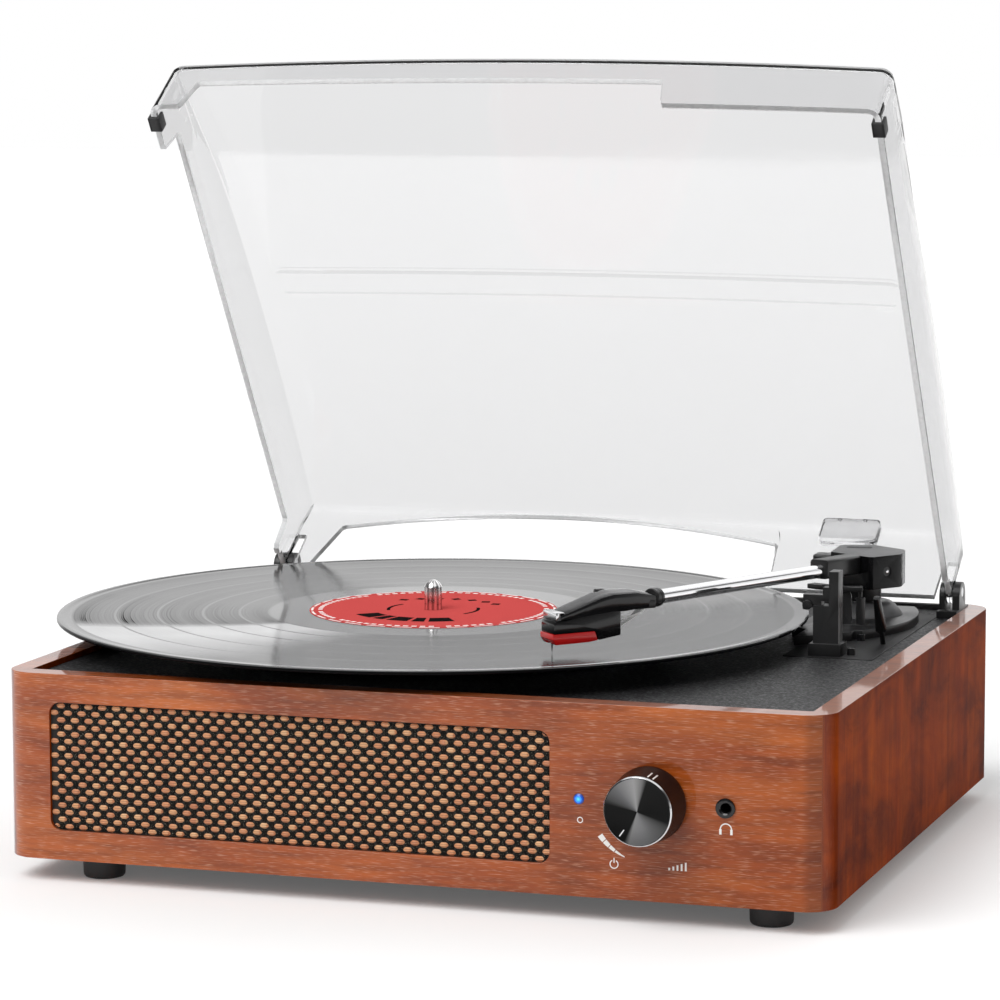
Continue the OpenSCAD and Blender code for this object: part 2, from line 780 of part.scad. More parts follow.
// The bar under the tube, bent round the upright axis
module lift_platform() {
    color("#29292b") on_feet() {
        at_arm() translate([0, 0, platform_z - 2]) sector(platform_r[0], platform_r[1], 222, 266);
        translate([lift_rod_x, lift_rod_y, deck_z - 10])
            cylinder(r = lift_rod_r, h = platform_z - 2 - deck_z + 10.5);
    }
}

module slider(at) {
    block([at[0] - 1.5, at[1] - 1, deck_z - 9], [at[0] + 1.5, at[1] + 1, deck_z + 3]);
}

module speed_switch() {
    color("#0e0e0f") on_feet() translate([-slide_half, 0, 0]) slider(speed_at);
}

module auto_stop_switch() {
    color("#0e0e0f") on_feet() translate([-slide_half, 0, 0]) slider(stop_at);
}

module switch_housings() {
    color("#505256") on_feet() {
        for (at = [speed_at, stop_at])
            block([at[0] - 8, at[1] - 4, deck_z - 16], [at[0] + 8, at[1] + 4, deck_z - 9.3]);
        difference() {
            block([cue_x + 3, cue_y - 3, deck_z - 14], [cue_x + 8, cue_y + 3, deck_z - deck_t]);
            along_x(cue_x, cue_y, cue_pivot_z, cue_axle_r + running, 10);
        }
    }
}

// ---------- lid ----------

// Height of the lid's top over its side walls, at a distance s in front of its back wall
function crown(s) =
    s < 150 ? 44 - pow(s - 77, 2) / 2270
    : s < 200 ? 41.65 - 0.0643 * (s - 150) - 0.00083 * pow(s - 150, 2)
    : 36.36 - 0.147 * (s - 200);

lid_crown = 1.6;

function plan_bow(x) = lid_front - lid_bow * pow(2 * x / lid_w, 2);

module lid_side(t, low) {
    points = concat(
        [[-0.4 + t, low], [-0.4 + t, crease_h], [2 + t, crown(2) + lid_crown - t]],
        [for (s = [12:12:240]) [s, crown(s) + lid_crown - t]],
        [[lid_front - t, crown(lid_front) - t], [lid_front - t, low]]
    );
    rotate([90, 0, 90]) translate([0, 0, -lid_w / 2]) linear_extrude(lid_w)
        polygon([for (p = points) [-p[0], p[1]]]);
}

module lid_plan(t) {
    half = lid_w / 2 - t;
    r = 5 - t;
    front = [for (i = [-11:11]) let (x = i * (half - r) / 11) [x, t - plan_bow(x)]];
    right = [for (a = [-60:30:0]) [half - r + r * cos(a), t + r - plan_bow(half) + r * sin(a)]];
    left = [for (a = [180:30:240]) [-half + r + r * cos(a), t + r - plan_bow(half) + r * sin(a)]];
    translate([0, 0, -5]) linear_extrude(60)
        polygon(concat(front, right, [[half, 0.4 - t], [-half, 0.4 - t]], left));
}

module lid_cross(t) {
    half = lid_w / 2 - t;
    rotate([90, 0, 0]) translate([0, 0, -5]) linear_extrude(lid_front + 10)
        polygon([[-half, -5], [half, -5], [half, crease_h], [half - 2.4, 60], [-half + 2.4, 60], [-half, crease_h]]);
}

module lid_form(t, low) {
    intersection() {
        lid_side(t, low);
        lid_plan(t);
        lid_cross(t);
    }
}

ear_x = lid_w / 2 - lid_t;
ear_y = 2.42;
ear_z = 7.6;
ear_r = 5;
hinge_pin_r = 2;
arch_r = 470;
arch_top = 39;

// The closed lid about its back wall, with its deepest edge at height 0
module lid_closed() {
    difference() {
        union() {
            difference() {
                lid_form(0, 0);
                lid_form(lid_t, -past);
            }
            for (side = [0, 1]) mirror([side, 0, 0]) {
                along_x(ear_x, ear_y, ear_z, ear_r, lid_t);
                block([ear_x, -8, ear_z - ear_r], [ear_x + lid_t, ear_y, ear_z + ear_r]);
            }
        }
        // shallow left side
        block([-160, -225, -past], [-140, -14, lid_step]);
        // shallow front
        block([-135, -260, -past], [62.5, -240, lid_step]);
        // arch in the back wall
        intersection() {
            rotate([90, 0, 0]) translate([0, 0, -10]) linear_extrude(20)
                polygon([[-137, -past], [71.5, -past], [69, 40], [-124.5, 40]]);
            translate([-29, 10, arch_top - arch_r]) rotate([90, 0, 0]) cylinder(r = arch_r, h = 20, $fn = 720);
        }
        // room for the hinge brackets
        for (side = [0, 1]) mirror([side, 0, 0]) {
            block([143, -5, -past], [ear_x, 1, 21]);
            block([ear_x - 1, -9, -past], [ear_x + lid_t + 1, 12, ear_z - ear_r]);
            along_x(ear_x - 4, ear_y, ear_z, hinge_pin_r + running, lid_t + 8);
        }
    }
}

module opened() {
    translate([0, hinge_y, hinge_z]) rotate([-lid_open, 0, 0]) translate([0, -hinge_y, -hinge_z]) children();
}

module lid() {
    color("#dfe6ea", 0.35) on_feet() opened() translate([0, lid_zero_y, lid_edge_z]) lid_closed();
}

module lid_bumpers() {
    color("#1b1b1c") on_feet() opened() translate([0, lid_zero_y, lid_edge_z])
        for (side = [0, 1]) mirror([side, 0, 0]) difference() {
            block([ear_x - 1.3, -241.5, -1.5], [ear_x + lid_t + 1.3, -231.5, 11]);
            block([ear_x, -242.5, 0], [ear_x + lid_t, -230.5, 12]);
        }
}

bracket_x = [ear_x - 0.35 - 2.4, ear_x - 0.35, ear_x + lid_t + 0.35, inner_x];

module hinge_brackets() {
    color("#1d1d1f") on_feet() for (side = [0, 1]) mirror([side, 0, 0]) {
        block([bracket_x[0], 112, deck_z], [bracket_x[3], deck_back - 0.5, deck_z + 3]);
        for (i = [0, 2]) difference() {
            union() {
                block([bracket_x[i], hinge_y - 6, deck_z + 3], [bracket_x[i + 1], hinge_y + 6, hinge_z - 1]);
                along_x(bracket_x[i], hinge_y, hinge_z - 1.8, 6, bracket_x[i + 1] - bracket_x[i]);
            }
            along_x(bracket_x[i] - past, hinge_y, hinge_z, hinge_pin_r, 10);
        }
    }
}

module hinge_pins() {
    color("silver") on_feet() for (side = [0, 1]) mirror([side, 0, 0])
        along_x(bracket_x[0], hinge_y, hinge_z, hinge_pin_r, bracket_x[3] - bracket_x[0]);
}

plinth();
bottom_board();
rear_panel();
deck();
feet();
foot_screws();
grille_board();
grille_cloth();
speaker_frames();
speaker_cones();
indicator_lens();
volume_control();
control_nut();
volume_knob();
headphone_socket();
main_board();
board_parts();
power_inlet();
line_out_sockets();
aux_socket();
bearing();
motor();
motor_pulley();
drive_belt();
platter();
slipmat();
spindle();
record();
record_label();
arm_base();
arm_yoke();
arm_housing();
arm_pivot_screws();
arm_counterweight();
arm_tube();
tube_saddle();
headshell();
headshell_clip();
cartridge();
stylus_holder();
stylus();
cartridge_wires();
rest_post();
rest_latch();
cue_lever();
lift_platform();
speed_switch();
auto_stop_switch();
switch_housings();
lid();
lid_bumpers();
hinge_brackets();
hinge_pins();
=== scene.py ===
import json
import math

import bpy
from mathutils import Matrix, Vector


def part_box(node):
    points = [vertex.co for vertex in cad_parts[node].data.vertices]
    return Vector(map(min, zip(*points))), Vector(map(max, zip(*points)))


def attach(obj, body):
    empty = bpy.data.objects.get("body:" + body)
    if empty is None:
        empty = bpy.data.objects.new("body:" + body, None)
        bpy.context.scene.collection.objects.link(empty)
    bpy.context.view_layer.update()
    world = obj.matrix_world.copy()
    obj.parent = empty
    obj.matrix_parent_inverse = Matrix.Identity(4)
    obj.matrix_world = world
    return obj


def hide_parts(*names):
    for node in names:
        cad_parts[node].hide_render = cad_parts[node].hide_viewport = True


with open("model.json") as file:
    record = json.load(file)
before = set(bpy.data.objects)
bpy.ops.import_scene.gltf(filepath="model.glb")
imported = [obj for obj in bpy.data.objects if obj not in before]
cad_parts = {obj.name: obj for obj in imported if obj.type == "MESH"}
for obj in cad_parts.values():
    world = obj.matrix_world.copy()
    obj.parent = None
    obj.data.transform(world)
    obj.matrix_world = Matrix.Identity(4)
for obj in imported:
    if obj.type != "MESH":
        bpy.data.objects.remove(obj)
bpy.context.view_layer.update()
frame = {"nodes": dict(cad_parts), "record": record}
cad = frame["nodes"]

# New pieces are drawn in millimetres about the middle of the plinth's lower edge, then put in place.
case_low, case_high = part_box("plinth")
MIDDLE = Vector(((case_low[0] + case_high[0]) / 2, (case_low[1] + case_high[1]) / 2, case_low[2]))
ORIGIN_MM = MIDDLE * 1000
TO_FRAME = Matrix.Translation(MIDDLE) @ Matrix.Scale(0.001, 4)
FRONT = -1000 * (case_high[1] - case_low[1]) / 2

MERGE = 0.0005          # vertices of a drawn piece closer than this become one (mm)
CAD_MERGE = 0.000004    # and of a copied node (m)
FLAT_DEGREES = 0.4      # faces of a copied node this nearly level with each other become one


def node_mm(node):
    """A CAD node's lowest and highest corners in the drawing's millimetres."""
    low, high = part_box(node)
    return (Vector(low) - MIDDLE) * 1000, (Vector(high) - MIDDLE) * 1000


def shift(x, y, z):
    return Matrix.Translation((x, y, z))


def turn_by(degrees, axis):
    return Matrix.Rotation(math.radians(degrees), 4, axis)


# ---------------------------------------------------------------- modelling

def clear_selection():
    """Goes back to object mode with nothing selected."""
    if bpy.context.object and bpy.context.object.mode != "OBJECT":
        bpy.ops.object.mode_set(mode="OBJECT")
    bpy.ops.object.select_all(action="DESELECT")


def only(piece):
    """Makes one piece the selected and active one, in object mode."""
    clear_selection()
    piece.select_set(True)
    bpy.context.view_layer.objects.active = piece


def fresh(name):
    """The primitive just added, with its place and size taken into its mesh."""
    piece = bpy.context.object
    piece.name = name
    bpy.ops.object.transform_apply(location=True, rotation=True, scale=True)
    return piece


def open_all(piece):
    """Opens a piece for editing with everything selected."""
    only(piece)
    bpy.ops.object.mode_set(mode="EDIT")
    bpy.ops.mesh.select_all(action="SELECT")


def sheet_of(name, columns, rows, size=1):
    """A flat grid of faces about the origin."""
    clear_selection()
    bpy.ops.mesh.primitive_grid_add(x_subdivisions=columns, y_subdivisions=rows, size=size, location=(0, 0, 0))
    return fresh(name)


def block(name, low, high):
    """A box between two corners."""
    clear_selection()
    middle = [(a + b) / 2 for a, b in zip(low, high)]
    bpy.ops.mesh.primitive_cube_add(size=1, location=middle, scale=[b - a for a, b in zip(low, high)])
    return fresh(name)


def pick(piece, kind, test):
    """Opens a piece for editing with the vertices, edges or faces that a place test accepts."""
    only(piece)
    mesh = piece.data
    for group in (mesh.vertices, mesh.edges, mesh.polygons):
        group.foreach_set("select", [False] * len(group))
    if kind == "VERT":
        for vertex in mesh.vertices:
            vertex.select = test(vertex.co)
    elif kind == "EDGE":
        for edge in mesh.edges:
            edge.select = test(mesh.vertices[edge.vertices[0]].co, mesh.vertices[edge.vertices[1]].co)
    else:
        for face in mesh.polygons:
            face.select = test(face.center, face.normal)
    bpy.context.tool_settings.mesh_select_mode = (kind == "VERT", kind == "EDGE", kind == "FACE")
    bpy.ops.object.mode_set(mode="EDIT")


def done(piece):
    bpy.ops.object.mode_set(mode="OBJECT")
    return piece


def bevel_edges(piece, width, segments, test):
    """Bevels the edges whose two ends pass a test."""
    pick(piece, "EDGE", test)
    bpy.ops.mesh.bevel(offset=width, segments=segments, affect="EDGES")
    return done(piece)


def modify(piece, kind, **values):
    """Adds a modifier and applies it."""
    only(piece)
    modifier = piece.modifiers.new(kind.lower(), kind)
    for key, value in values.items():
        setattr(modifier, key, value)
    bpy.ops.object.modifier_apply(modifier=modifier.name)
    return piece


def ease(piece, width, segments=2, angle=38, clamp=True):
    """Rounds every sharp edge of a piece."""
    modify(piece, "BEVEL", width=width, segments=segments, limit_method="ANGLE",
           angle_limit=math.radians(angle), use_clamp_overlap=clamp, harden_normals=False)
    return piece


def soften(piece, angle=32):
    """Smooth shading up to an angle between faces."""
    only(piece)
    bpy.ops.object.shade_smooth_by_angle(angle=math.radians(angle))
    return piece


def face_out(piece, merge=True):
    """Turns a piece's faces outward, with its doubled vertices merged first."""
    open_all(piece)
    if merge:
        bpy.ops.mesh.remove_doubles(threshold=MERGE)
    bpy.ops.mesh.normals_make_consistent(inside=False)
    return done(piece)


def face_back(piece):
    """Turns every face of a piece the other way round."""
    bpy.ops.object.mode_set(mode="EDIT")
    bpy.ops.mesh.flip_normals()
    return done(piece)


def turned(name, profile, steps=96, ring=False):
    """A shape turned on the Z axis, from (radius, height) points, each ring extruded from the last."""
    clear_selection()
    radius, height = profile[0]
    bpy.ops.mesh.primitive_circle_add(vertices=steps, radius=radius, location=(0, 0, height))
    piece = fresh(name)
    bpy.ops.object.mode_set(mode="EDIT")
    bpy.ops.mesh.select_all(action="SELECT")
    for next_radius, next_height in profile[1:]:
        bpy.ops.mesh.extrude_region_move(TRANSFORM_OT_translate={"value": (0, 0, next_height - height)})
        share = next_radius / radius
        bpy.ops.transform.resize(value=(share, share, 1), center_override=(0, 0, 0))
        radius, height = next_radius, next_height
    bpy.ops.mesh.select_all(action="SELECT")
    bpy.ops.mesh.remove_doubles(threshold=MERGE)
    if not ring:
        bpy.ops.mesh.select_all(action="SELECT")
        bpy.ops.mesh.fill_holes(sides=0)
    bpy.ops.mesh.select_all(action="SELECT")
    bpy.ops.mesh.normals_make_consistent(inside=False)
    return done(piece)


def to_front(x, z):
    """Stands a piece turned on Z out from the front panel at a place on it."""
    return shift(x, FRONT, z) @ turn_by(90, "X")


def joined(name, pieces):
    """Several pieces as one mesh."""
    clear_selection()
    for piece in pieces:
        piece.select_set(True)
    bpy.context.view_layer.objects.active = pieces[0]
    bpy.ops.object.join()
    pieces[0].name = name
    return pieces[0]


def twin(piece, name, matrix):
    """A copy with its own mesh, moved by a matrix."""
    other = piece.copy()
    other.data = piece.data.copy()
    other.name = name
    bpy.context.scene.collection.objects.link(other)
    other.data.transform(matrix)
    return other


def from_node(name, node, width, segments=2, angle=38, clamp=True):
    """A CAD node's shape as a copy, merged and with its sharp edges eased. The width is in millimetres."""
    source = cad[node]
    piece = source.copy()
    piece.data = source.data.copy()
    piece.name = name
    piece.parent = None
    for key in list(piece.keys()):
        del piece[key]
    bpy.context.scene.collection.objects.link(piece)
    only(piece)
    bpy.ops.mesh.customdata_custom_splitnormals_clear()
    piece.data.materials.clear()
    open_all(piece)
    bpy.ops.mesh.remove_doubles(threshold=CAD_MERGE)
    bpy.ops.mesh.dissolve_limited(angle_limit=math.radians(FLAT_DEGREES))
    done(piece)
    face_out(piece, merge=False)
    if width:
        ease(piece, width * 0.001, segments, angle, clamp)
    return soften(piece)


def coat(piece, *finishes):
    """Gives a piece its materials in place of the ones it has."""
    piece.data.materials.clear()
    for finish in finishes:
        piece.data.materials.append(finish)


def moved(piece, matrix):
    piece.data.transform(matrix)
    return piece


def place(piece, body, finish, replaced=(), settle=True, smooth=32):
    """Puts a piece in the frame, on its body. Without a finish it keeps the ones its faces have."""
    if settle:
        piece.data.transform(TO_FRAME)
    if smooth:
        soften(piece, smooth)
    if finish:
        coat(piece, finish)
    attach(piece, body)
    if replaced:
        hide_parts(*replaced)
    return piece


# ---------------------------------------------------------------- shader helpers

class Signal:
    """A value in a shader: a sign between two signals adds a Math node."""

    def __init__(self, tree, socket):
        self.tree, self.socket = tree, socket

    def __add__(self, other):
        return math_node(self.tree, "ADD", self, other)

    def __radd__(self, other):
        return math_node(self.tree, "ADD", other, self)

    def __sub__(self, other):
        return math_node(self.tree, "SUBTRACT", self, other)

    def __rsub__(self, other):
        return math_node(self.tree, "SUBTRACT", other, self)

    def __mul__(self, other):
        return math_node(self.tree, "MULTIPLY", self, other)

    def __truediv__(self, other):
        return math_node(self.tree, "DIVIDE", self, other)

    def __abs__(self):
        return math_node(self.tree, "ABSOLUTE", self)


class Outputs:
    """A node's outputs, as signals."""

    def __init__(self, tree, node):
        self.tree, self.node = tree, node

    def __getitem__(self, key):
        return Signal(self.tree, self.node.outputs[key])


def feed(tree, socket, value):
    if isinstance(value, Signal):
        tree.links.new(value.socket, socket)
    else:
        socket.default_value = value


def add(tree, kind, inputs=None, **settings):
    """Adds a node with its settings, and feeds its inputs with signals or plain values."""
    node = tree.nodes.new(kind)
    for key, value in settings.items():
        setattr(node, key, value)
    for key, value in (inputs or {}).items():
        feed(tree, node.inputs[key], value)
    return Outputs(tree, node)


def math_node(tree, operation, *values, clamp=False):
    return add(tree, "ShaderNodeMath", dict(enumerate(values)), operation=operation, use_clamp=clamp)[0]


def span(value, start, end, low=0.0, high=1.0):
    """Carries a signal from one range to another and holds it at the ends."""
    return add(value.tree, "ShaderNodeMapRange", {"Value": value, "From Min": start, "From Max": end,
                                                  "To Min": low, "To Max": high})[0]


def choose(factor, first, second):
    """The first value where the factor is 0, the second where it is 1."""
    return add(factor.tree, "ShaderNodeMix", {0: factor, 2: first, 3: second}, data_type="FLOAT")[0]


def noise(tree, vector, scale, detail, **more):
    sockets = {key.capitalize(): value for key, value in more.items()}
    return add(tree, "ShaderNodeTexNoise", {"Vector": vector, "Scale": scale, "Detail": detail, **sockets})["Fac"]


def parts_of(vector):
    """The X, Y and Z of a vector signal."""
    return add(vector.tree, "ShaderNodeSeparateXYZ", {"Vector": vector})


def vector_of(tree, x, y, z):
    return add(tree, "ShaderNodeCombineXYZ", {"X": x, "Y": y, "Z": z})["Vector"]


def length_of(vector):
    return add(vector.tree, "ShaderNodeVectorMath", {0: vector}, operation="LENGTH")["Value"]


def tint(colour):
    """A colour with its alpha, from a triple or one level of grey."""
    if isinstance(colour, Signal):
        return colour
    return (*colour, 1) if isinstance(colour, tuple) else (colour, colour, colour, 1)


def ramp(factor, *stops):
    """A colour ramp with a stop for each (position, colour) pair."""
    found = add(factor.tree, "ShaderNodeValToRGB", {"Fac": factor})
    elements = found.node.color_ramp.elements
    while len(elements) > 1:
        elements.remove(elements[-1])
    elements[0].position, elements[0].color = stops[0][0], tint(stops[0][1])
    for position, colour in stops[1:]:
        elements.new(position).color = tint(colour)
    return found["Color"]


def blend(tree, factor, first, second, mode="MIX"):
    return add(tree, "ShaderNodeMix", {0: factor, 6: tint(first), 7: tint(second)}, data_type="RGBA", blend_type=mode,
               clamp_factor=True)[2]


def group(name, inputs, outputs):
    """An empty node group with its sockets; returns the tree, its input signals and its output node."""
    tree = bpy.data.node_groups.new(name, "ShaderNodeTree")
    kinds = {"f": "NodeSocketFloat", "c": "NodeSocketColor", "v": "NodeSocketVector"}
    for label, kind, value in inputs:
        socket = tree.interface.new_socket(label, in_out="INPUT", socket_type=kinds[kind])
        if value is not None:
            socket.default_value = value
    for label, kind in outputs:
        tree.interface.new_socket(label, in_out="OUTPUT", socket_type=kinds[kind])
    return tree, Outputs(tree, tree.nodes.new("NodeGroupInput")), tree.nodes.new("NodeGroupOutput")


def use(tree, shared, **values):
    return add(tree, "ShaderNodeGroup", {key.replace("_", " "): value for key, value in values.items()},
               node_tree=shared)


def finish_of(name, colour=None, rough=0.5, metal=0.0, **sockets):
    """A material with its plain numbers on the shader's own sockets."""
    material = bpy.data.materials.new(name)
    material.use_nodes = True
    tree = material.node_tree
    shader = tree.nodes["Principled BSDF"]
    if colour:
        shader.inputs["Base Color"].default_value = (*colour, 1)
    shader.inputs["Roughness"].default_value = rough
    shader.inputs["Metallic"].default_value = metal
    for key, value in sockets.items():
        shader.inputs[key.replace("_", " ")].default_value = value
    return material, tree, shader


def object_place(tree, scale=1.0, centre=None):
    """Object coordinates, centred and scaled by a Mapping node."""
    scales = (scale,) * 3 if isinstance(scale, (int, float)) else scale
    inputs = {"Vector": add(tree, "ShaderNodeTexCoord")["Object"], "Scale": scales}
    if centre is not None:
        inputs["Location"] = [-c * s for c, s in zip(centre, scales)]
    return add(tree, "ShaderNodeMapping", inputs, vector_type="POINT")["Vector"]


def axis_of(node, along):
    """The middle of a CAD node in metres, with 0 along one axis."""
    low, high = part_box(node)
    return [0 if index == along else (a + b) / 2 for index, (a, b) in enumerate(zip(low, high))]


def connect(source, shader, socket="Base Color"):
    source.tree.links.new(source.socket, shader.inputs[socket])


def bump(shader, height, depth, strength=1.0):
    raised = add(height.tree, "ShaderNodeBump", {"Height": height, "Distance": depth, "Strength": strength})
    connect(raised["Normal"], shader, "Normal")


# Unevenness of a moulded, cast or painted surface: slow tone, fine grain
uneven, uneven_in, uneven_out = group(
    "surface unevenness",
    [("Place", "v", None), ("Colour", "c", (0.5, 0.5, 0.5, 1)), ("Tone change", "f", 0.1), ("Roughness", "f", 0.4),
     ("Roughness change", "f", 0.1), ("Grain size", "f", 2000.0)],
    [("Colour", "c"), ("Roughness", "f"), ("Height", "f")])
slow = noise(uneven, uneven_in["Place"], 28.0, 3.0)
fine = noise(uneven, uneven_in["Place"], uneven_in["Grain size"], 2.0)
tone = (slow - 0.5) * uneven_in["Tone change"]
tone = tone + (fine - 0.5) * (uneven_in["Tone change"] * 0.6)
bright = add(uneven, "ShaderNodeHueSaturation", {"Color": uneven_in["Colour"], "Value": tone + 1.0})
connect(bright["Color"], uneven_out, "Colour")
rough_change = (slow - 0.5) * uneven_in["Roughness change"]
connect(math_node(uneven, "ADD", rough_change, uneven_in["Roughness"], clamp=True), uneven_out, "Roughness")
connect(fine, uneven_out, "Height")

# Lines left by turning, and the angle round the axis, for a place centred with Z along the axis
lines, lines_in, lines_out = group(
    "turning lines", [("Place", "v", None), ("Lines per metre", "f", 3000.0)],
    [("Radius", "f"), ("Lines", "f"), ("Angle", "f")])
parts = parts_of(lines_in["Place"])
radius_of = length_of(vector_of(lines, parts["X"], parts["Y"], 0.0))
ring_noise = add(lines, "ShaderNodeTexNoise", {"W": radius_of * lines_in["Lines per metre"], "Scale": 1.0,
                                               "Detail": 2.0}, noise_dimensions="1D")
connect(radius_of, lines_out, "Radius")
connect(ring_noise["Fac"], lines_out, "Lines")
connect(math_node(lines, "ARCTAN2", parts["Y"], parts["X"]), lines_out, "Angle")


def plain_finish(name, colour, rough, metal=0.0, tone_change=0.12, rough_change=0.12, grain=2500.0, depth=0.00002,
                 **sockets):
    """A moulded or metal finish with slow and fine unevenness."""
    material, tree, shader = finish_of(name, None, rough, metal, **sockets)
    shared = use(tree, uneven, Place=object_place(tree), Colour=(*colour, 1), Tone_change=tone_change,
                 Roughness=rough, Roughness_change=rough_change, Grain_size=grain)
    connect(shared["Colour"], shader)
    connect(shared["Roughness"], shader, "Roughness")
    if depth:
        bump(shader, shared["Height"], depth)
    return material


# ---------------------------------------------------------------- finishes

def lacquered_veneer():
    """Reddish-brown veneer under clear lacquer: straight grain across the front, a dark figure on the sides, with
    painted shade and a painted highlight.
    """
    material, tree, shader = finish_of("lacquered_veneer", None, 0.42, 0.0, Coat_Roughness=0.045, Coat_IOR=1.5)
    coordinates = add(tree, "ShaderNodeTexCoord")
    place_parts = parts_of(coordinates["Object"])
    normal_parts = parts_of(coordinates["Normal"])
    x, y, z = (place_parts[i] for i in range(3))
    side = abs(normal_parts["X"])
    side = span(side, 0.66, 0.72)
    along = choose(side, x, z)
    flat_top = span(normal_parts["Z"], 0.6, 0.7)
    across = choose(side, z + y * flat_top, y)

    # painted shade: the right-hand end of the front is a little darker; painted highlight: its top edge paler
    right_end = span(x, 0.02, 0.17)

    def streaks(length, width, detail, distortion=0.0, seed=0.0):
        return noise(tree, vector_of(tree, along * (1 / length), across * (1 / width), seed), 1.0, detail,
                     distortion=distortion)

    broad = streaks(0.11, 0.024, 3.0, 1.2)
    grain = streaks(0.030, 0.0026, 4.0, 0.4, 3.0)
    pores = streaks(0.0052, 0.00034, 1.0, 0.0, 7.0)
    dark_pores = streaks(0.0060, 0.00042, 1.0, 0.0, 11.0)
    patches = streaks(0.05, 0.045, 2.0, 0.8, 17.0)
    colour = ramp(broad, (0.28, (0.175, 0.036, 0.011)), (0.42, (0.275, 0.062, 0.019)),
                  (0.56, (0.345, 0.087, 0.026)), (0.74, (0.41, 0.115, 0.035)))
    grain_tone = ramp(grain, (0.30, (0.58, 0.52, 0.50)), (0.50, 1.0), (0.72, (1.26, 1.22, 1.15)))
    colour = blend(tree, 0.75 - side * 0.45, colour, grain_tone, "MULTIPLY")
    patch_tone = ramp(patches, (0.30, (0.66, 0.64, 0.66)), (0.46, 1.0), (1.0, 1.05))
    colour = blend(tree, 0.55, colour, patch_tone, "MULTIPLY")
    upright = streaks(0.12, 0.011, 3.0, 0.6, 23.0)
    upright = ramp(upright, (0.34, (0.50, 0.42, 0.40)), (0.48, 1.0), (0.70, (1.25, 1.15, 1.1)))
    colour = blend(tree, side * 0.3, colour, upright, "MULTIPLY")
    # the sides are redder, with dark patches that lean down a little towards the back
    leaning = z + y * 0.08
    leaning = vector_of(tree, y * 17.0, leaning * 34.0, 5.0)
    figure = noise(tree, leaning, 1.0, 6.0, roughness=0.62, distortion=0.7)
    figure = ramp(figure, (0.36, (0.50, 0.33, 0.28)), (0.47, (0.86, 0.62, 0.50)), (0.55, (1.0, 0.72, 0.56)),
                  (0.68, (1.22, 0.92, 0.66)))
    colour = blend(tree, side, colour, figure, "MULTIPLY")
    pale = span(pores, 0.56, 0.72)
    pale = pale * (0.50 - side * 0.42)
    colour = blend(tree, pale, colour, (0.62, 0.34, 0.22))
    # painted highlight: the flat top at the front's right-hand end is blended towards pale pink
    painted_glare = flat_top * right_end * 0.35
    colour = blend(tree, painted_glare, colour, (0.62, 0.44, 0.38))
    deep = span(dark_pores, 0.64, 0.78)
    colour = blend(tree, deep * 0.45, colour, (0.075, 0.018, 0.010))
    # painted shade: darker where the front turns into the side and towards the front's right-hand end, and the sides
    # darker than the front
    turning_in = span(normal_parts["X"], 0.10, 0.35)
    front_shade = 1.03 - (right_end * 0.13 + turning_in * 0.22)
    shade = choose(side, front_shade, 0.72)
    colour = add(tree, "ShaderNodeHueSaturation", {"Color": colour, "Value": shade, "Saturation": 1.06})["Color"]
    connect(colour, shader)
    polish = span(normal_parts["X"], 0.75, 0.97, 0.95, 0.0)
    polish = polish * (1.0 - right_end * (0.5 - normal_parts["Z"] * 0.5))
    connect(polish, shader, "Coat Weight")
    connect(span(normal_parts["X"], 0.6, 0.9, 0.15, 0.006), shader, "Specular IOR Level")
    bump(shader, pores, 0.00003, 0.5)
    return material


def leatherette():
    """Fine black grained skin of the deck."""
    material, tree, shader = finish_of("deck_skin", None, 0.5, 0.0, Specular_IOR_Level=0.3)
    cells = add(tree, "ShaderNodeTexVoronoi", {"Vector": object_place(tree), "Scale": 1500.0, "Randomness": 1.0},
                feature="DISTANCE_TO_EDGE")
    wrinkles = noise(tree, object_place(tree), 900.0, 3.0)
    height = cells["Distance"] * 0.7 + wrinkles * 0.5
    connect(ramp(wrinkles, (0.35, (0.004, 0.004, 0.0042)), (0.55, (0.016, 0.016, 0.017)),
                 (0.72, (0.07, 0.07, 0.072))), shader)
    connect(ramp(wrinkles, (0.3, 0.62), (0.7, 0.42)), shader, "Roughness")
    bump(shader, height, 0.0002, 0.6)
    return material


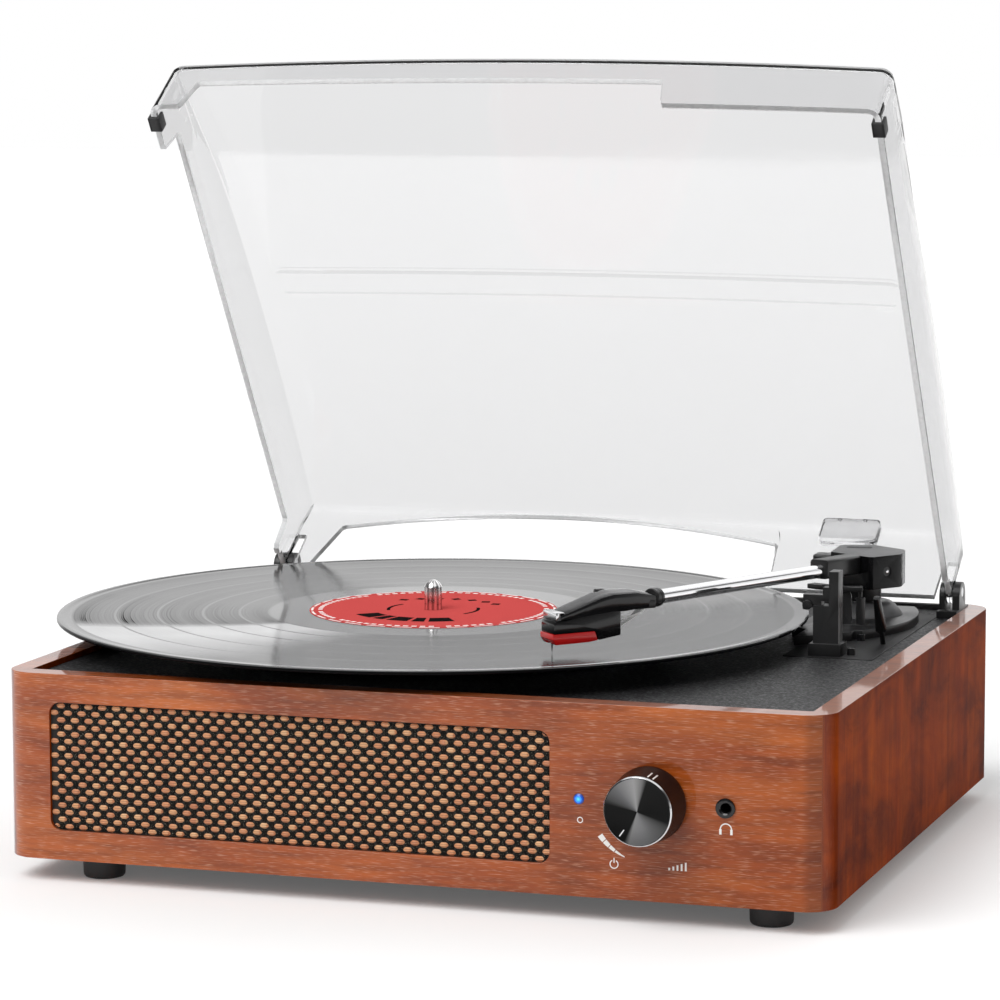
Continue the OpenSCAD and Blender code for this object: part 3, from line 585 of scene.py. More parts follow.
def vinyl():
    """Pressed vinyl: bands of grooves between a smooth rim and a smooth ring round the label, with painted highlights
    and a painted grey sheen on top.
    """
    material, tree, shader = finish_of("vinyl", None, 0.16, 0.0, IOR=1.52)
    turning = use(tree, lines, Place=object_place(tree, 1.0, axis_of("record", 2)), Lines_per_metre=5200.0)
    radius, angle = turning["Radius"], turning["Angle"]
    grooved = span(radius, 0.0655, 0.0668)
    outer = span(radius, 0.1452, 0.1440)
    grooved = grooved * outer

    def rings(per_metre, detail):
        return add(tree, "ShaderNodeTexNoise", {"W": radius * per_metre, "Scale": 1.0, "Detail": detail},
                   noise_dimensions="1D")["Fac"]

    fine, broad = rings(1500.0, 3.0), rings(110.0, 2.0)
    # soft sweeps round the axis where the grooves catch the light: painted highlights in the colour, and smoother
    # there
    sweeps = noise(tree, vector_of(tree, math_node(tree, "SINE", angle) * 1.6, math_node(tree, "COSINE", angle) * 1.6,
                                   radius * 26.0), 1.0, 3.0)
    # a painted highlight: a pale fan with one crisp side
    swept = angle + (radius - 0.0707) * 3.72
    crisp = span(swept, math.radians(-136), math.radians(-129))
    fading = span(swept, math.radians(-84), math.radians(-118))
    painted_fan = crisp * fading
    # the gaps between the tracks are thin smooth rings
    gaps = None
    for place_of_gap in (0.1275, 0.1105, 0.0925, 0.0778):
        ring = span(abs(radius - place_of_gap), 0.0007, 0.0004)
        gaps = ring if gaps is None else math_node(tree, "MAXIMUM", gaps, ring)
    cut = grooved * (1.0 - gaps * 0.7)
    rough = 0.075 + (fine + broad) * 0.09
    rough = rough - sweeps * 0.10
    connect(choose(cut, 0.075, rough), shader, "Roughness")
    # painted highlights: the fan and the sweeps lighten the grooves; the smooth rings are painted a dark grey sheen
    tone = cut * (painted_fan * 0.55 + sweeps * 0.35)
    colour = ramp(tone, (0.0, (0.09, 0.09, 0.091)), (0.10, (0.006, 0.006, 0.0065)),
                  (0.30, (0.035, 0.035, 0.036)), (0.75, (0.58, 0.58, 0.585)))
    # the painted sheen and highlights go only on the upward faces; the turned-over edge stays plain black
    upward = parts_of(add(tree, "ShaderNodeTexCoord")["Normal"])["Z"]
    connect(blend(tree, span(upward, 0.6, 0.98), (0.004, 0.004, 0.0045), colour), shader)
    level = span(upward, 0.5, 0.97, 0.02, 0.72)
    level = math_node(tree, "SUBTRACT", level, cut * (fine * 0.42 + 0.20), clamp=True)
    # just past the fan's crisp side the grooves are streaked and deeper
    streaked = span(swept, math.radians(-176), math.radians(-138))
    streaked = streaked * (1.0 - crisp)
    streaked = streaked * cut * (broad * 0.36)
    connect(math_node(tree, "SUBTRACT", level, streaked, clamp=True), shader, "Specular IOR Level")
    bump(shader, cut * fine, 0.00003, 0.25)
    return material


def spun_face():
    """Dark spun metal: fine rings, with two pale and two dark sweeps round the axis painted in as reflections."""
    material, tree, shader = finish_of("spun_cap", None, 0.32, 0.85)
    swapped = parts_of(object_place(tree, 1.0, axis_of("volume_knob", 1)))
    turning = use(tree, lines, Place=vector_of(tree, swapped["X"], swapped["Z"], 0.0), Lines_per_metre=9000.0)
    turn = math_node(tree, "FRACT", turning["Angle"] / (2 * math.pi) + 1.0)
    # painted reflection: pale and dark sweeps of the colour round the axis
    connect(ramp(turn, (0.0, 0.006), (0.20, 0.010), (0.225, 0.17), (0.27, 0.30), (0.38, (0.13, 0.13, 0.135)),
                 (0.44, 0.065), (0.47, 0.008), (0.685, 0.008), (0.71, 0.24), (0.80, (0.20, 0.20, 0.205)),
                 (0.90, 0.10), (0.935, 0.055), (0.955, 0.008), (1.0, 0.006)), shader)
    connect(0.26 + turning["Lines"] * 0.16, shader, "Roughness")
    bump(shader, turning["Lines"], 0.00002, 0.4)
    return material


def striped_pin():
    """Polished steel with pale and dark stripes round the axis painted in as reflections."""
    material, tree, shader = finish_of("polished_pin", None, 0.13, 1.0)
    turning = use(tree, lines, Place=object_place(tree, 1.0, axis_of("spindle", 2)), Lines_per_metre=900.0)
    # painted reflection: the stripes are in the colour
    stripes = math_node(tree, "SINE", turning["Angle"] * 11.0)
    connect(ramp(stripes * 0.5 + 0.5, (0.15, (0.40, 0.39, 0.39)), (0.5, (0.74, 0.73, 0.73)),
                 (0.8, (0.95, 0.94, 0.94))), shader)
    return material


def tan_thread(corner, cell):
    """Tan and peach paper thread, three strands to a pad, each pad a little different."""
    material, tree, shader = finish_of("tan_thread", None, 0.42, 0.0, Sheen_Weight=0.2, Specular_IOR_Level=0.6)
    mm = object_place(tree, 1.0, corner)
    cells = add(tree, "ShaderNodeVectorMath", {0: mm, 1: (cell[0], 10.0, cell[1])}, operation="DIVIDE")["Vector"]
    whole = add(tree, "ShaderNodeVectorMath", {0: cells}, operation="FLOOR")["Vector"]
    random = add(tree, "ShaderNodeTexWhiteNoise", {"Vector": whole})["Value"]
    slow_tone = noise(tree, mm, 60.0, 2.0)
    colour = ramp(random * 0.5 + slow_tone * 0.5, (0.15, (0.43, 0.15, 0.062)), (0.42, (0.57, 0.235, 0.10)),
                  (0.65, (0.61, 0.305, 0.14)), (0.9, (0.72, 0.45, 0.24)))
    strands = math_node(tree, "SINE", parts_of(cells)["Z"] * (2 * math.pi * 3))
    # painted shade between the strands and a painted highlight along their middles
    strand_shade_and_highlight = ramp(strands * 0.5 + 0.5, (0.0, (0.60, 0.52, 0.46)), (0.5, 1.0), (1.0, (1.16, 1.14, 1.1)))
    connect(blend(tree, 0.85, colour, strand_shade_and_highlight, "MULTIPLY"), shader)
    bump(shader, strands, 0.00012, 0.6)
    return material


def black_thread():
    """Black glossy thread with painted pale glints along its fibre."""
    material, tree, shader = finish_of("black_thread", None, 0.5, 0.0, Specular_IOR_Level=0.08)
    fibre = noise(tree, object_place(tree, (3200.0, 900.0, 2300.0)), 1.0, 2.0)
    # painted highlights: pale glints in the colour where the fibre noise is high
    connect(ramp(fibre, (0.40, (0.003, 0.003, 0.0025)), (0.58, (0.006, 0.0055, 0.005)), (0.66, (0.10, 0.09, 0.07)),
                 (0.74, (0.40, 0.39, 0.34))), shader)
    bump(shader, fibre, 0.0002, 0.7)
    return material


def clear_plastic():
    """Clear lid with a breath of grey, faint moulding waves and light handling haze."""
    material, tree, shader = finish_of("clear_lid", None, 0.03, 0.0, Transmission_Weight=1.0, IOR=1.24)
    coordinates = add(tree, "ShaderNodeTexCoord")
    height = parts_of(coordinates["Object"])["Z"]
    sideways = parts_of(coordinates["Normal"])["X"]
    panel = ramp(span(height, 0.10, 0.30), (0.0, (0.725, 0.725, 0.73)), (1.0, (0.83, 0.83, 0.835)))
    wall = span(abs(sideways), 0.6, 0.9)
    connect(blend(tree, wall, panel, (0.70, 0.70, 0.705)), shader)
    connect(span(noise(tree, object_place(tree), 9.0, 3.0), 0.3, 0.7, 0.015, 0.06), shader, "Roughness")
    return material


def cut_edge():
    """The lid's edges: the same plastic with a frosted, paler surface."""
    material, tree, shader = finish_of("clear_edge", None, 0.35, 0.0, Transmission_Weight=0.55, IOR=1.25)
    frost = noise(tree, object_place(tree), 700.0, 2.0)
    connect(ramp(frost, (0.3, (0.76, 0.765, 0.77)), (0.7, (0.90, 0.905, 0.91))), shader)
    return material


def lamp():
    """The indicator's lens: a blue glow that fades to a dark rim."""
    material, tree, shader = finish_of("lamp_lens", None, 0.2, 0.0, Emission_Strength=1.0)
    swapped = parts_of(object_place(tree, 1.0, axis_of("indicator_lens", 1)))
    share = length_of(vector_of(tree, swapped["X"], swapped["Z"], 0.0)) / 0.002
    glow = ramp(share, (0.0, (0.08, 0.50, 0.95)), (0.35, (0.02, 0.24, 0.80)), (0.7, (0.01, 0.06, 0.35)),
                (0.95, (0.02, 0.03, 0.12)))
    connect(glow, shader, "Emission Color")
    connect(glow, shader)
    return material


def green_board():
    """Green circuit board with paler tracks."""
    material, tree, shader = finish_of("board_green", None, 0.35)
    tracks = add(tree, "ShaderNodeTexVoronoi", {"Vector": object_place(tree), "Scale": 260.0},
                 feature="DISTANCE_TO_EDGE", distance="EUCLIDEAN")
    connect(ramp(tracks["Distance"], (0.02, (0.10, 0.30, 0.12)), (0.06, (0.012, 0.11, 0.045))), shader)
    return material


veneer, skin, record_vinyl, cap, clear, frosted = (
    make() for make in (lacquered_veneer, leatherette, vinyl, spun_face, clear_plastic, cut_edge))
# name, colour, roughness, metal, change of tone, grain per metre, depth of the grain, other sockets
satin, gloss, grey_satin, rubber, fibreboard, steel, chrome, silver_edge, knob_side, housing, cloth_back, cone_paper, \
    dark_parts, brass, cast, weight_metal, red_plastic, wire_white, ink = (
        plain_finish(name, colour, rough, metal, tone_change=change, grain=grain, depth=depth, **more)
        for name, colour, rough, metal, change, grain, depth, more in (
            ("black_satin", (0.013, 0.013, 0.0135), 0.30, 0, 0.3, 3500, 0.00002, {"Specular_IOR_Level": 0.4}),
            ("black_gloss", (0.005, 0.005, 0.0055), 0.14, 0, 0.2, 1500, 0.000004, {}),
            ("arm_top", (0.055, 0.055, 0.057), 0.36, 0, 0.3, 5200, 0.00003, {}),
            ("rubber_black", (0.014, 0.014, 0.015), 0.55, 0, 0.3, 1800, 0.00006, {}),
            ("black_board", (0.022, 0.021, 0.021), 0.8, 0, 0.5, 900, 0.0002, {}),
            ("bright_steel", (0.62, 0.62, 0.63), 0.24, 1, 0.15, 4000, 0.000004, {}),
            ("chrome_tube", (0.86, 0.86, 0.87), 0.055, 1, 0.04, 600, 0, {"rough_change": 0.03}),
            ("polished_edge", (0.72, 0.72, 0.73), 0.14, 1, 0.1, 3000, 0, {}),
            ("knob_side", (0.005, 0.005, 0.0055), 0.25, 0, 0.2, 1200, 0.000004, {"Specular_IOR_Level": 0.3}),
            ("arm_housing_black", (0.004, 0.004, 0.0045), 0.2, 0, 0.2, 1500, 0.000004, {"Specular_IOR_Level": 0.16}),
            ("cloth_backing", (0.010, 0.009, 0.008), 0.8, 0, 0.4, 1600, 0.0002, {}),
            ("cone_paper", (0.020, 0.019, 0.018), 0.85, 0, 0.4, 700, 0.0003, {}),
            ("dark_parts", (0.030, 0.031, 0.034), 0.4, 0, 0.3, 2500, 0.00002, {}),
            ("brass", (0.62, 0.42, 0.16), 0.28, 1, 0.15, 2500, 0.00002, {}),
            ("cast_alloy", (0.36, 0.36, 0.37), 0.42, 1, 0.25, 1200, 0.0001, {}),
            ("weight_metal", (0.20, 0.20, 0.205), 0.35, 1, 0.2, 2500, 0.00002, {}),
            ("red_plastic", (0.50, 0.008, 0.008), 0.18, 0, 0.15, 900, 0.000004, {}),
            ("wire_white", (0.93, 0.93, 0.92), 0.35, 0, 0.1, 2600, 0.00002, {}),
            ("pale_ink", (0.80, 0.78, 0.75), 0.6, 0, 0.1, 5000, 0, {})))

FINISH = {
    "lamp": lamp(), "board_green": green_board(), "wood": veneer, "deck_skin": skin, "black_board": fibreboard,
    "black_satin": satin, "black_gloss": gloss, "rubber_black": rubber, "steel": steel, "chrome_tube": chrome,
    "cloth": cloth_back, "cone_paper": cone_paper, "knob_metal": knob_side, "parts_dark": dark_parts, "brass": brass,
    "cast": cast, "vinyl": record_vinyl, "red_plastic": red_plastic, "clear_lid": clear, "wire_white": wire_white,
    "weight": weight_metal}


# ---------------------------------------------------------------- camera, light and ground

EYE_MM = (496.754, -1504.603, 322.618)
PAN, TILT, ROLL = 18.5659, 7.0559, -0.14487
LENS_MM, SENSOR_MM = 144.382, 36


def camera():
    """A long lens at a little above deck height, seen from the front right."""
    clear_selection()
    bpy.ops.object.camera_add(location=MIDDLE + Vector(EYE_MM) * 0.001)
    eye = bpy.context.object
    eye.name = "eye"
    eye.rotation_euler = (turn_by(PAN, "Z") @ turn_by(90 - TILT, "X") @ turn_by(ROLL, "Z")).to_euler()
    eye.data.lens = LENS_MM
    eye.data.sensor_width = SENSOR_MM
    eye.data.clip_start, eye.data.clip_end = 0.05, 60
    bpy.context.scene.camera = eye


def lights():
    """Two broad suns, and a world with a softbox overhead, pale walls and a darker room behind the viewer."""
    for name, aim, strength, spread in (("key_light", (-0.26, -0.55, 0.78), 2.1, 44),
                                        ("back_light", (0.1, 0.8, 0.6), 0.5, 60)):
        clear_selection()
        bpy.ops.object.light_add(type="SUN", location=(0, 0, 1.5))
        sun = bpy.context.object
        sun.name = name
        sun.rotation_euler = Vector(aim).to_track_quat("Z", "Y").to_euler()
        sun.data.energy = strength
        sun.data.angle = math.radians(spread)
    world = bpy.data.worlds.new("studio")
    bpy.context.scene.world = world
    world.use_nodes = True
    tree = world.node_tree
    path = add(tree, "ShaderNodeLightPath")
    heading = parts_of(add(tree, "ShaderNodeTexCoord")["Generated"])
    room = span(heading["Y"], -0.45, 0.25, 0.16, 1.0)
    above = span(heading["Z"], 0.45, 0.75, 0.0, 0.95)
    room = math_node(tree, "MAXIMUM", room, above)
    left = span(heading["X"], -0.55, -0.9, 0.0, 0.8)
    room = math_node(tree, "MAXIMUM", room, left)
    # a dark strip between the wall and the softbox
    strip = span(abs(heading["Z"] - 0.46), 0.28, 0.20)
    room = room * (1.0 - strip * 0.8)
    level = choose(path["Is Glossy Ray"], 0.52, room)
    # plain white where the world is seen straight on, through the lid, or in reflections inside it
    inside = path["Is Glossy Ray"] * math_node(tree, "MINIMUM", path["Transmission Depth"], 1.0)
    clear_way = math_node(tree, "MAXIMUM", path["Is Transmission Ray"], inside)
    clear_way = math_node(tree, "MAXIMUM", path["Is Camera Ray"], clear_way)
    background = tree.nodes["Background"]
    background.inputs["Color"].default_value = (1, 1, 1, 1)
    connect(choose(clear_way, level, 1.0), background, "Strength")


def ground():
    """A white floor with a little light of its own where it is seen."""
    floor = sheet_of("floor", 8, 8, 14)
    material, tree, shader = finish_of("floor_white", (0.90, 0.90, 0.90), 0.9, 0.0, Specular_IOR_Level=0.0)
    path = add(tree, "ShaderNodeLightPath")
    shown = math_node(tree, "MAXIMUM", path["Is Glossy Ray"], path["Is Transmission Ray"])
    shown = math_node(tree, "MAXIMUM", path["Is Camera Ray"], shown)
    shader.inputs["Emission Color"].default_value = (1, 1, 1, 1)
    connect(shown * 0.10, shader, "Emission Strength")
    floor.data.materials.append(material)


camera()
lights()
ground()

# ---------------------------------------------------------------- the plinth

case = from_node("wood_case", "plinth", 0.6, 3)
modify(case, "WEIGHTED_NORMAL", keep_sharp=True)
place(case, "base", veneer, ["plinth"], settle=False, smooth=0)

# The smooth plate let into the deck under the tonearm
plate = block("deck_plate", (108, -2, 69.1), (144.2, 122.5, 69.45))
bevel_edges(plate, 8, 1, lambda a, b: abs(a.z - b.z) > 0.1 and a.x > 140 and a.y > 100)
bevel_edges(plate, 1.6, 4, lambda a, b: abs(a.z - b.z) > 0.1)
ease(plate, 0.16, 2)
place(plate, "base", plain_finish("plate_black", (0.010, 0.010, 0.0105), 0.5, tone_change=0.3,
                                               Specular_IOR_Level=0.2))


def weave():
    """The speaker cloth: tan pads over and under black thread, one pad modelled and repeated."""
    low, high = node_mm("grille_cloth")
    columns, rows = 35, 18
    step_x, step_z = (high.x - low.x) / (2 * columns), (high.z - low.z) / rows

    def pad(name, width, height, puff, pinch):
        """One puffed pad, drawn in at its ends, facing forward."""
        piece = sheet_of(name, 6, 4)
        for vertex in piece.data.vertices:
            a, b = vertex.co.x * 2, vertex.co.y * 2
            rise = max(0.0, 1 - abs(a) ** 2.4) ** 0.6 * max(0.0, 1 - abs(b) ** 3) ** 0.55
            vertex.co = (a * width / 2 * (1 - pinch * b * b), -puff * rise, b * height / 2 * (1 - pinch * 3 * a ** 4))
        face_out(piece, merge=False)
        if sum(face_of.normal.y for face_of in piece.data.polygons) > 0:
            face_back(piece)
        return piece

    def spread(piece, first, name):
        """Repeats a pad over every second crossing, in two staggered sets."""
        sets = []
        for stagger in (0, 1):
            copy = twin(piece, name + "_set", shift(low.x + (first + stagger + 0.5) * step_x, low.y - 0.02,
                                                    low.z + (stagger + 0.5) * step_z))
            for count, offset in ((columns, (2 * step_x, 0, 0)), (rows // 2, (0, 0, 2 * step_z))):
                modify(copy, "ARRAY", count=count, use_relative_offset=False, use_constant_offset=True,
                       constant_offset_displace=offset)
            sets.append(copy)
        whole = joined(name, sets)
        bpy.data.objects.remove(piece)
        corner = 4.6

        def outside(co):
            dx = max(low.x + corner - co.x, co.x - high.x + corner, 0)
            dz = max(low.z + corner - co.z, co.z - high.z + corner, 0)
            edge = co.x < low.x + 0.1 or co.x > high.x - 0.1 or co.z < low.z + 0.1 or co.z > high.z - 0.1
            return edge or math.hypot(dx, dz) > corner - 0.1 and dx > 0 and dz > 0

        pick(whole, "VERT", outside)
        bpy.ops.mesh.delete(type="VERT")
        return done(whole)

    weft = spread(pad("weft_pad", step_x * 1.24, step_z * 0.74, 0.62, 0.16), 0, "tan_weft")
    warp = spread(pad("warp_pad", step_x * 0.80, step_z * 1.20, 0.34, 0.06), 1, "black_warp")
    corner = MIDDLE + Vector((low.x - step_x * 0.17, 0, low.z)) * 0.001
    tan = tan_thread(corner, (step_x * 0.001, step_z * 0.001))
    place(weft, "base", tan, smooth=60)
    place(warp, "base", black_thread(), smooth=60)


weave()

# ---------------------------------------------------------------- the front controls

knob_low, knob_high = node_mm("volume_knob")
KNOB_X, KNOB_Z = (knob_low.x + knob_high.x) / 2, (knob_low.z + knob_high.z) / 2
ON_KNOB = to_front(KNOB_X, KNOB_Z)


def knob():
    """A lacquered skirted body, a polished chamfer and a spun face, with a pointer and two short side bars."""
    r, out = (knob_high.x - knob_low.x) / 2, FRONT - knob_low.y
    profile = [(7.5, 2.4), (7.5, 0.5), (r - 0.5, 0.5), (r, 1.0), (r, 3.0), (r - 0.12, 3.4), (12.95, out - 1.0),
               (12.86, out - 0.62), (12.62, out - 0.30), (12.38, out - 0.08), (12.1, out), (11.9, out - 0.08),
               (4.0, out - 0.10), (0.02, out - 0.10)]
    body = turned("volume_cap", profile, 128)
    body.data.transform(ON_KNOB)
    coat(body, knob_side, silver_edge, cap)
    for face in body.data.polygons:
        centre = face.center
        radius = math.hypot(centre.x - KNOB_X, centre.z - KNOB_Z)
        depth = FRONT - centre.y
        if depth > out - 0.55 and 12.35 < radius < 12.8:
            face.material_index = 1
        elif depth > out - 0.3 and radius < 12.0:
            face.material_index = 2
    place(body, "knob", None, ["volume_knob"], smooth=25)
    pointer = ease(block("knob_pointer", (8.3, -0.24, out - 0.16), (11.3, 0.24, out - 0.02)), 0.06, 1)
    place(moved(pointer, ON_KNOB @ turn_by(234.5, "Z")), "knob", silver_edge)
    for number, degrees in enumerate((66, 75)):
        bar = ease(block(f"knob_bar_{number}", (12.9, -0.3, 8.8), (13.70, 0.3, 14.6)), 0.10)
        # each bar leans in with the skirt, about a place on it
        bar.data.transform(shift(13.62, 0, 5.6) @ turn_by(-4.1, "Y") @ shift(-13.62, 0, -5.6))
        place(moved(bar, ON_KNOB @ turn_by(degrees, "Z")), "knob", ink)


knob()


def arc_plate(name, r_in, r_out, start, end, low, thick, taper=1.0, steps=24):
    """A thin flat arc about Z. taper is the width at its end over the width at its start."""
    piece = sheet_of(name, steps, 1)
    for vertex in piece.data.vertices:
        share, side = vertex.co.x + 0.5, vertex.co.y + 0.5
        angle = math.radians(start + (end - start) * share)
        middle, half = (r_in + r_out) / 2, (r_out - r_in) / 2 * (1 + (taper - 1) * share)
        radius = middle + half * (1 - 2 * side)
        vertex.co = (radius * math.cos(angle), radius * math.sin(angle), low)
    modify(piece, "SOLIDIFY", thickness=thick, offset=1.0)
    return face_out(piece)


INK = 0.06    # thickness of the printed marks


def front_marks():
    """Generic marks: a tapered power arc, dots, rising bars and a pair of ear pads."""
    marks = []
    # the tapered arc at the knob's off end
    arcs = [(216.5, 222.5, 2.1, 1.9), (223.2, 229, 1.8, 1.55), (229.7, 235.5, 1.45, 1.15), (236.2, 246, 1.0, 0.3)]
    for start, end, first, last in arcs:
        arc = arc_plate("arc", 23.4 - first / 2, 23.4 + first / 2, start, end, 0.0, INK, last / first, 8)
        marks.append(moved(arc, to_front(KNOB_X, KNOB_Z + 1.1)))

    def ring(x, z, radius, width, start=0, end=360):
        marks.append(moved(arc_plate("ring", radius - width, radius, start, end, 0.0, INK, 1.0, 32), to_front(x, z)))

    def bar(x, z, width, height):
        piece = block("bar", (x - width / 2, FRONT - INK, z - height / 2), (x + width / 2, FRONT, z + height / 2))
        marks.append(ease(piece, 0.02, 1))

    ring(81.5, 13.0, 1.7, 0.38, 118, 422)
    bar(81.5, 14.4, 0.38, 1.9)
    ring(68.6, 28.5, 1.15, 0.34)
    for index in range(5):
        bar(102.3 + 1.55 * index, 12.6 + 0.28 * index, 0.7, 0.9 + 0.56 * index)
    ring(123.4, 28.4, 2.3, 0.42, 0, 180)
    for side in (-1, 1):
        bar(123.4 + 2.05 * side, 27.5, 0.9, 2.0)
    place(joined("front_marks", marks), "base", ink)


front_marks()

# ---------------------------------------------------------------- record

record_low, record_high = node_mm("record")
ON_DISC = shift((record_low.x + record_high.x) / 2, (record_low.y + record_high.y) / 2, 0)


def disc():
    """The record: a rounded raised rim, a hair lower where the grooves run, and a raised centre."""
    r, top, low = (record_high.x - record_low.x) / 2, record_high.z, record_low.z
    profile = [(3.65, low), (r - 2.0, low), (r - 0.45, low + 0.25), (r - 0.1, low + 0.6), (r, low + 0.95),
               (r - 0.12, top - 0.35), (r - 0.5, top - 0.08), (r - 1.2, top), (r - 2.6, top - 0.06),
               (r - 3.6, top - 0.20), (r - 5.0, top - 0.24), (100.0, top - 0.24), (60.0, top - 0.24),
               (57.5, top - 0.16), (52.5, top - 0.12), (50.6, top - 0.06), (50.1, top), (30.0, top), (3.65, top),
               (3.65, low)]
    piece = turned("record_disc", profile, 256, ring=True)
    place(moved(piece, ON_DISC), "turntable", record_vinyl, ["record"], smooth=24)


disc()


def label_finish():
    """Matt coated paper in plain red with a slightly deeper border ring."""
    material, tree, shader = finish_of("label_paper", None, 0.5, 0.0, Specular_IOR_Level=0.0)
    turning = use(tree, lines, Place=object_place(tree, 1.0, axis_of("record_label", 2)), Lines_per_metre=900.0)
    tone = ramp(turning["Radius"] / 0.05, (0.0, (0.555, 0.078, 0.074)), (0.86, (0.555, 0.078, 0.074)),
                (1.0, (0.50, 0.066, 0.064)))
    fibre = noise(tree, object_place(tree), 1800.0, 3.0)
    tone = blend(tree, 0.35, tone, ramp(fibre, (0.3, 0.75), (0.7, 1.2)), "MULTIPLY")
    connect(tone, shader)
    bump(shader, fibre, 0.00002, 0.4)
    return material


THIN = 0.03    # thickness of the label's ink


def label():
    """The paper label with generic motifs: a ring of fine dashes, two dark crescents and a row of diamonds."""
    paper = label_finish()
    low, high = node_mm("record_label")
    top = high.z
    sheet = turned("label_disc", [(3.7, low.z), (49.6, low.z), (49.8, low.z + 0.08), (49.5, top), (30.0, top),
                                  (3.75, top), (3.7, low.z)], 160, ring=True)
    place(moved(sheet, ON_DISC), "turntable", paper, ["record_label"], smooth=24)
    dark_ink = plain_finish("dark_ink", (0.012, 0.009, 0.009), 0.5, tone_change=0.2, grain=5000.0, depth=0,
                            Specular_IOR_Level=0.0)
    pale_ink = plain_finish("label_ink", (0.86, 0.80, 0.78), 0.5, tone_change=0.1, grain=5000.0, depth=0,
                            Specular_IOR_Level=0.0)
    motifs = []
    # a bold broken arc below the hole, two fine ones beside it, and a row of diamonds
    for start, end in ((222, 240), (243, 252), (255, 271), (274, 283), (286, 304)):
        motifs.append(arc_plate("bold_arc", 24.0, 33.5, start, end, top, THIN, 1.0, 12))
    for start, end in ((-28, 28), (152, 208)):
        motifs.append(arc_plate("fine_arc", 17.4, 18.8, start, end, top, THIN, 1.0, 20))
    for index in range(7):
        angle = math.radians(90 + 15 * (index - 3))
        gem = block("gem", (-1.7, -1.7, top), (1.7, 1.7, top + THIN))
        motifs.append(moved(gem, shift(28 * math.cos(angle), 28 * math.sin(angle), 0)
                            @ Matrix.Rotation(angle + math.pi / 4, 4, "Z")))
    place(moved(joined("label_motifs", motifs), ON_DISC), "turntable", dark_ink)
    ticks = []
    for index in range(84):
        if index % 21 in (5, 12):
            continue
        start = index * 360 / 84
        ticks.append(arc_plate("tick", 44.6, 46.4, start, start + 2.6, top, THIN, 1.0, 2))
    for index in range(28):
        start = index * 360 / 28
        ticks.append(arc_plate("edge_dash", 48.3, 49.2, start, start + 9.5, top, THIN, 1.0, 5))
    place(moved(joined("label_border", ticks), ON_DISC), "turntable", pale_ink)
    return paper


FINISH["label_paper"] = label()

# ---------------------------------------------------------------- tonearm and its fittings

for node, name, body, width, slot, finish in (
        ("arm_yoke", "arm_column", "arm_pivot", 0.3, "black_satin", satin),
        ("headshell_clip", "shell_clip", "tonearm", 0.12, "steel", silver_edge),
        ("cue_lever", "lift_lever", "cue", 0.35, "black_gloss", gloss),
        ("hinge_brackets", "lid_brackets", "base", 0.45, "black_satin", satin),
        ("headphone_socket", "phone_socket", "base", 0.2, "black_gloss", gloss),
        ("rear_panel", "back_panel", "base", 0.4, "black_board", fibreboard),
        ("speed_switch", "speed_key", "speed_slider", 0.25, "black_gloss", gloss),
        ("auto_stop_switch", "stop_key", "stop_slider", 0.25, "black_gloss", gloss)):
    piece = from_node(name, node, width)
    place(piece, body, finish, [node], settle=False)


# The tonearm's upright axis, its tube's height there, its swing at rest, the tube's fall, and the headshell's
# front end and offset angle
ARM_X, ARM_Y, TUBE_Z = 118.7, 92.3, 93.5
SWING, FALL = -17.06, -1.917
SHELL_FRONT, SHELL_ANGLE = (-21.3, -194.6, 0), -28.94


def at_arm(turn=0.0, height=0):
    """A place on the tonearm's upright axis, turned about it (degrees)."""
    return shift(ARM_X, ARM_Y, 0) @ turn_by(turn, "Z") @ shift(0, 0, height)


ALONG = at_arm(SWING, TUBE_Z) @ turn_by(FALL, "X")
HEAD = at_arm(SWING) @ shift(*SHELL_FRONT) @ turn_by(SHELL_ANGLE, "Z")
LIFT_POST = shift(124.2, 62, 0)


def snug(piece, share):
    """Draws a piece of the headshell in along its length, about its front end."""
    back = HEAD.inverted()
    spots = [back @ (vertex.co * 1000 - ORIGIN_MM) for vertex in piece.data.vertices]
    front = min(spot.y for spot in spots)
    for vertex, spot in zip(piece.data.vertices, spots):
        spot.y = front + 0.7 + (spot.y - front) * share
        vertex.co = (HEAD @ spot + ORIGIN_MM) * 0.001
    return piece


place(snug(from_node("cartridge_body", "cartridge", 0.35), 0.92), "tonearm", gloss, ["cartridge"],
      settle=False)
place(snug(from_node("stylus_shoe", "stylus_holder", 0.3), 0.90), "tonearm", red_plastic,
      ["stylus_holder"], settle=False)


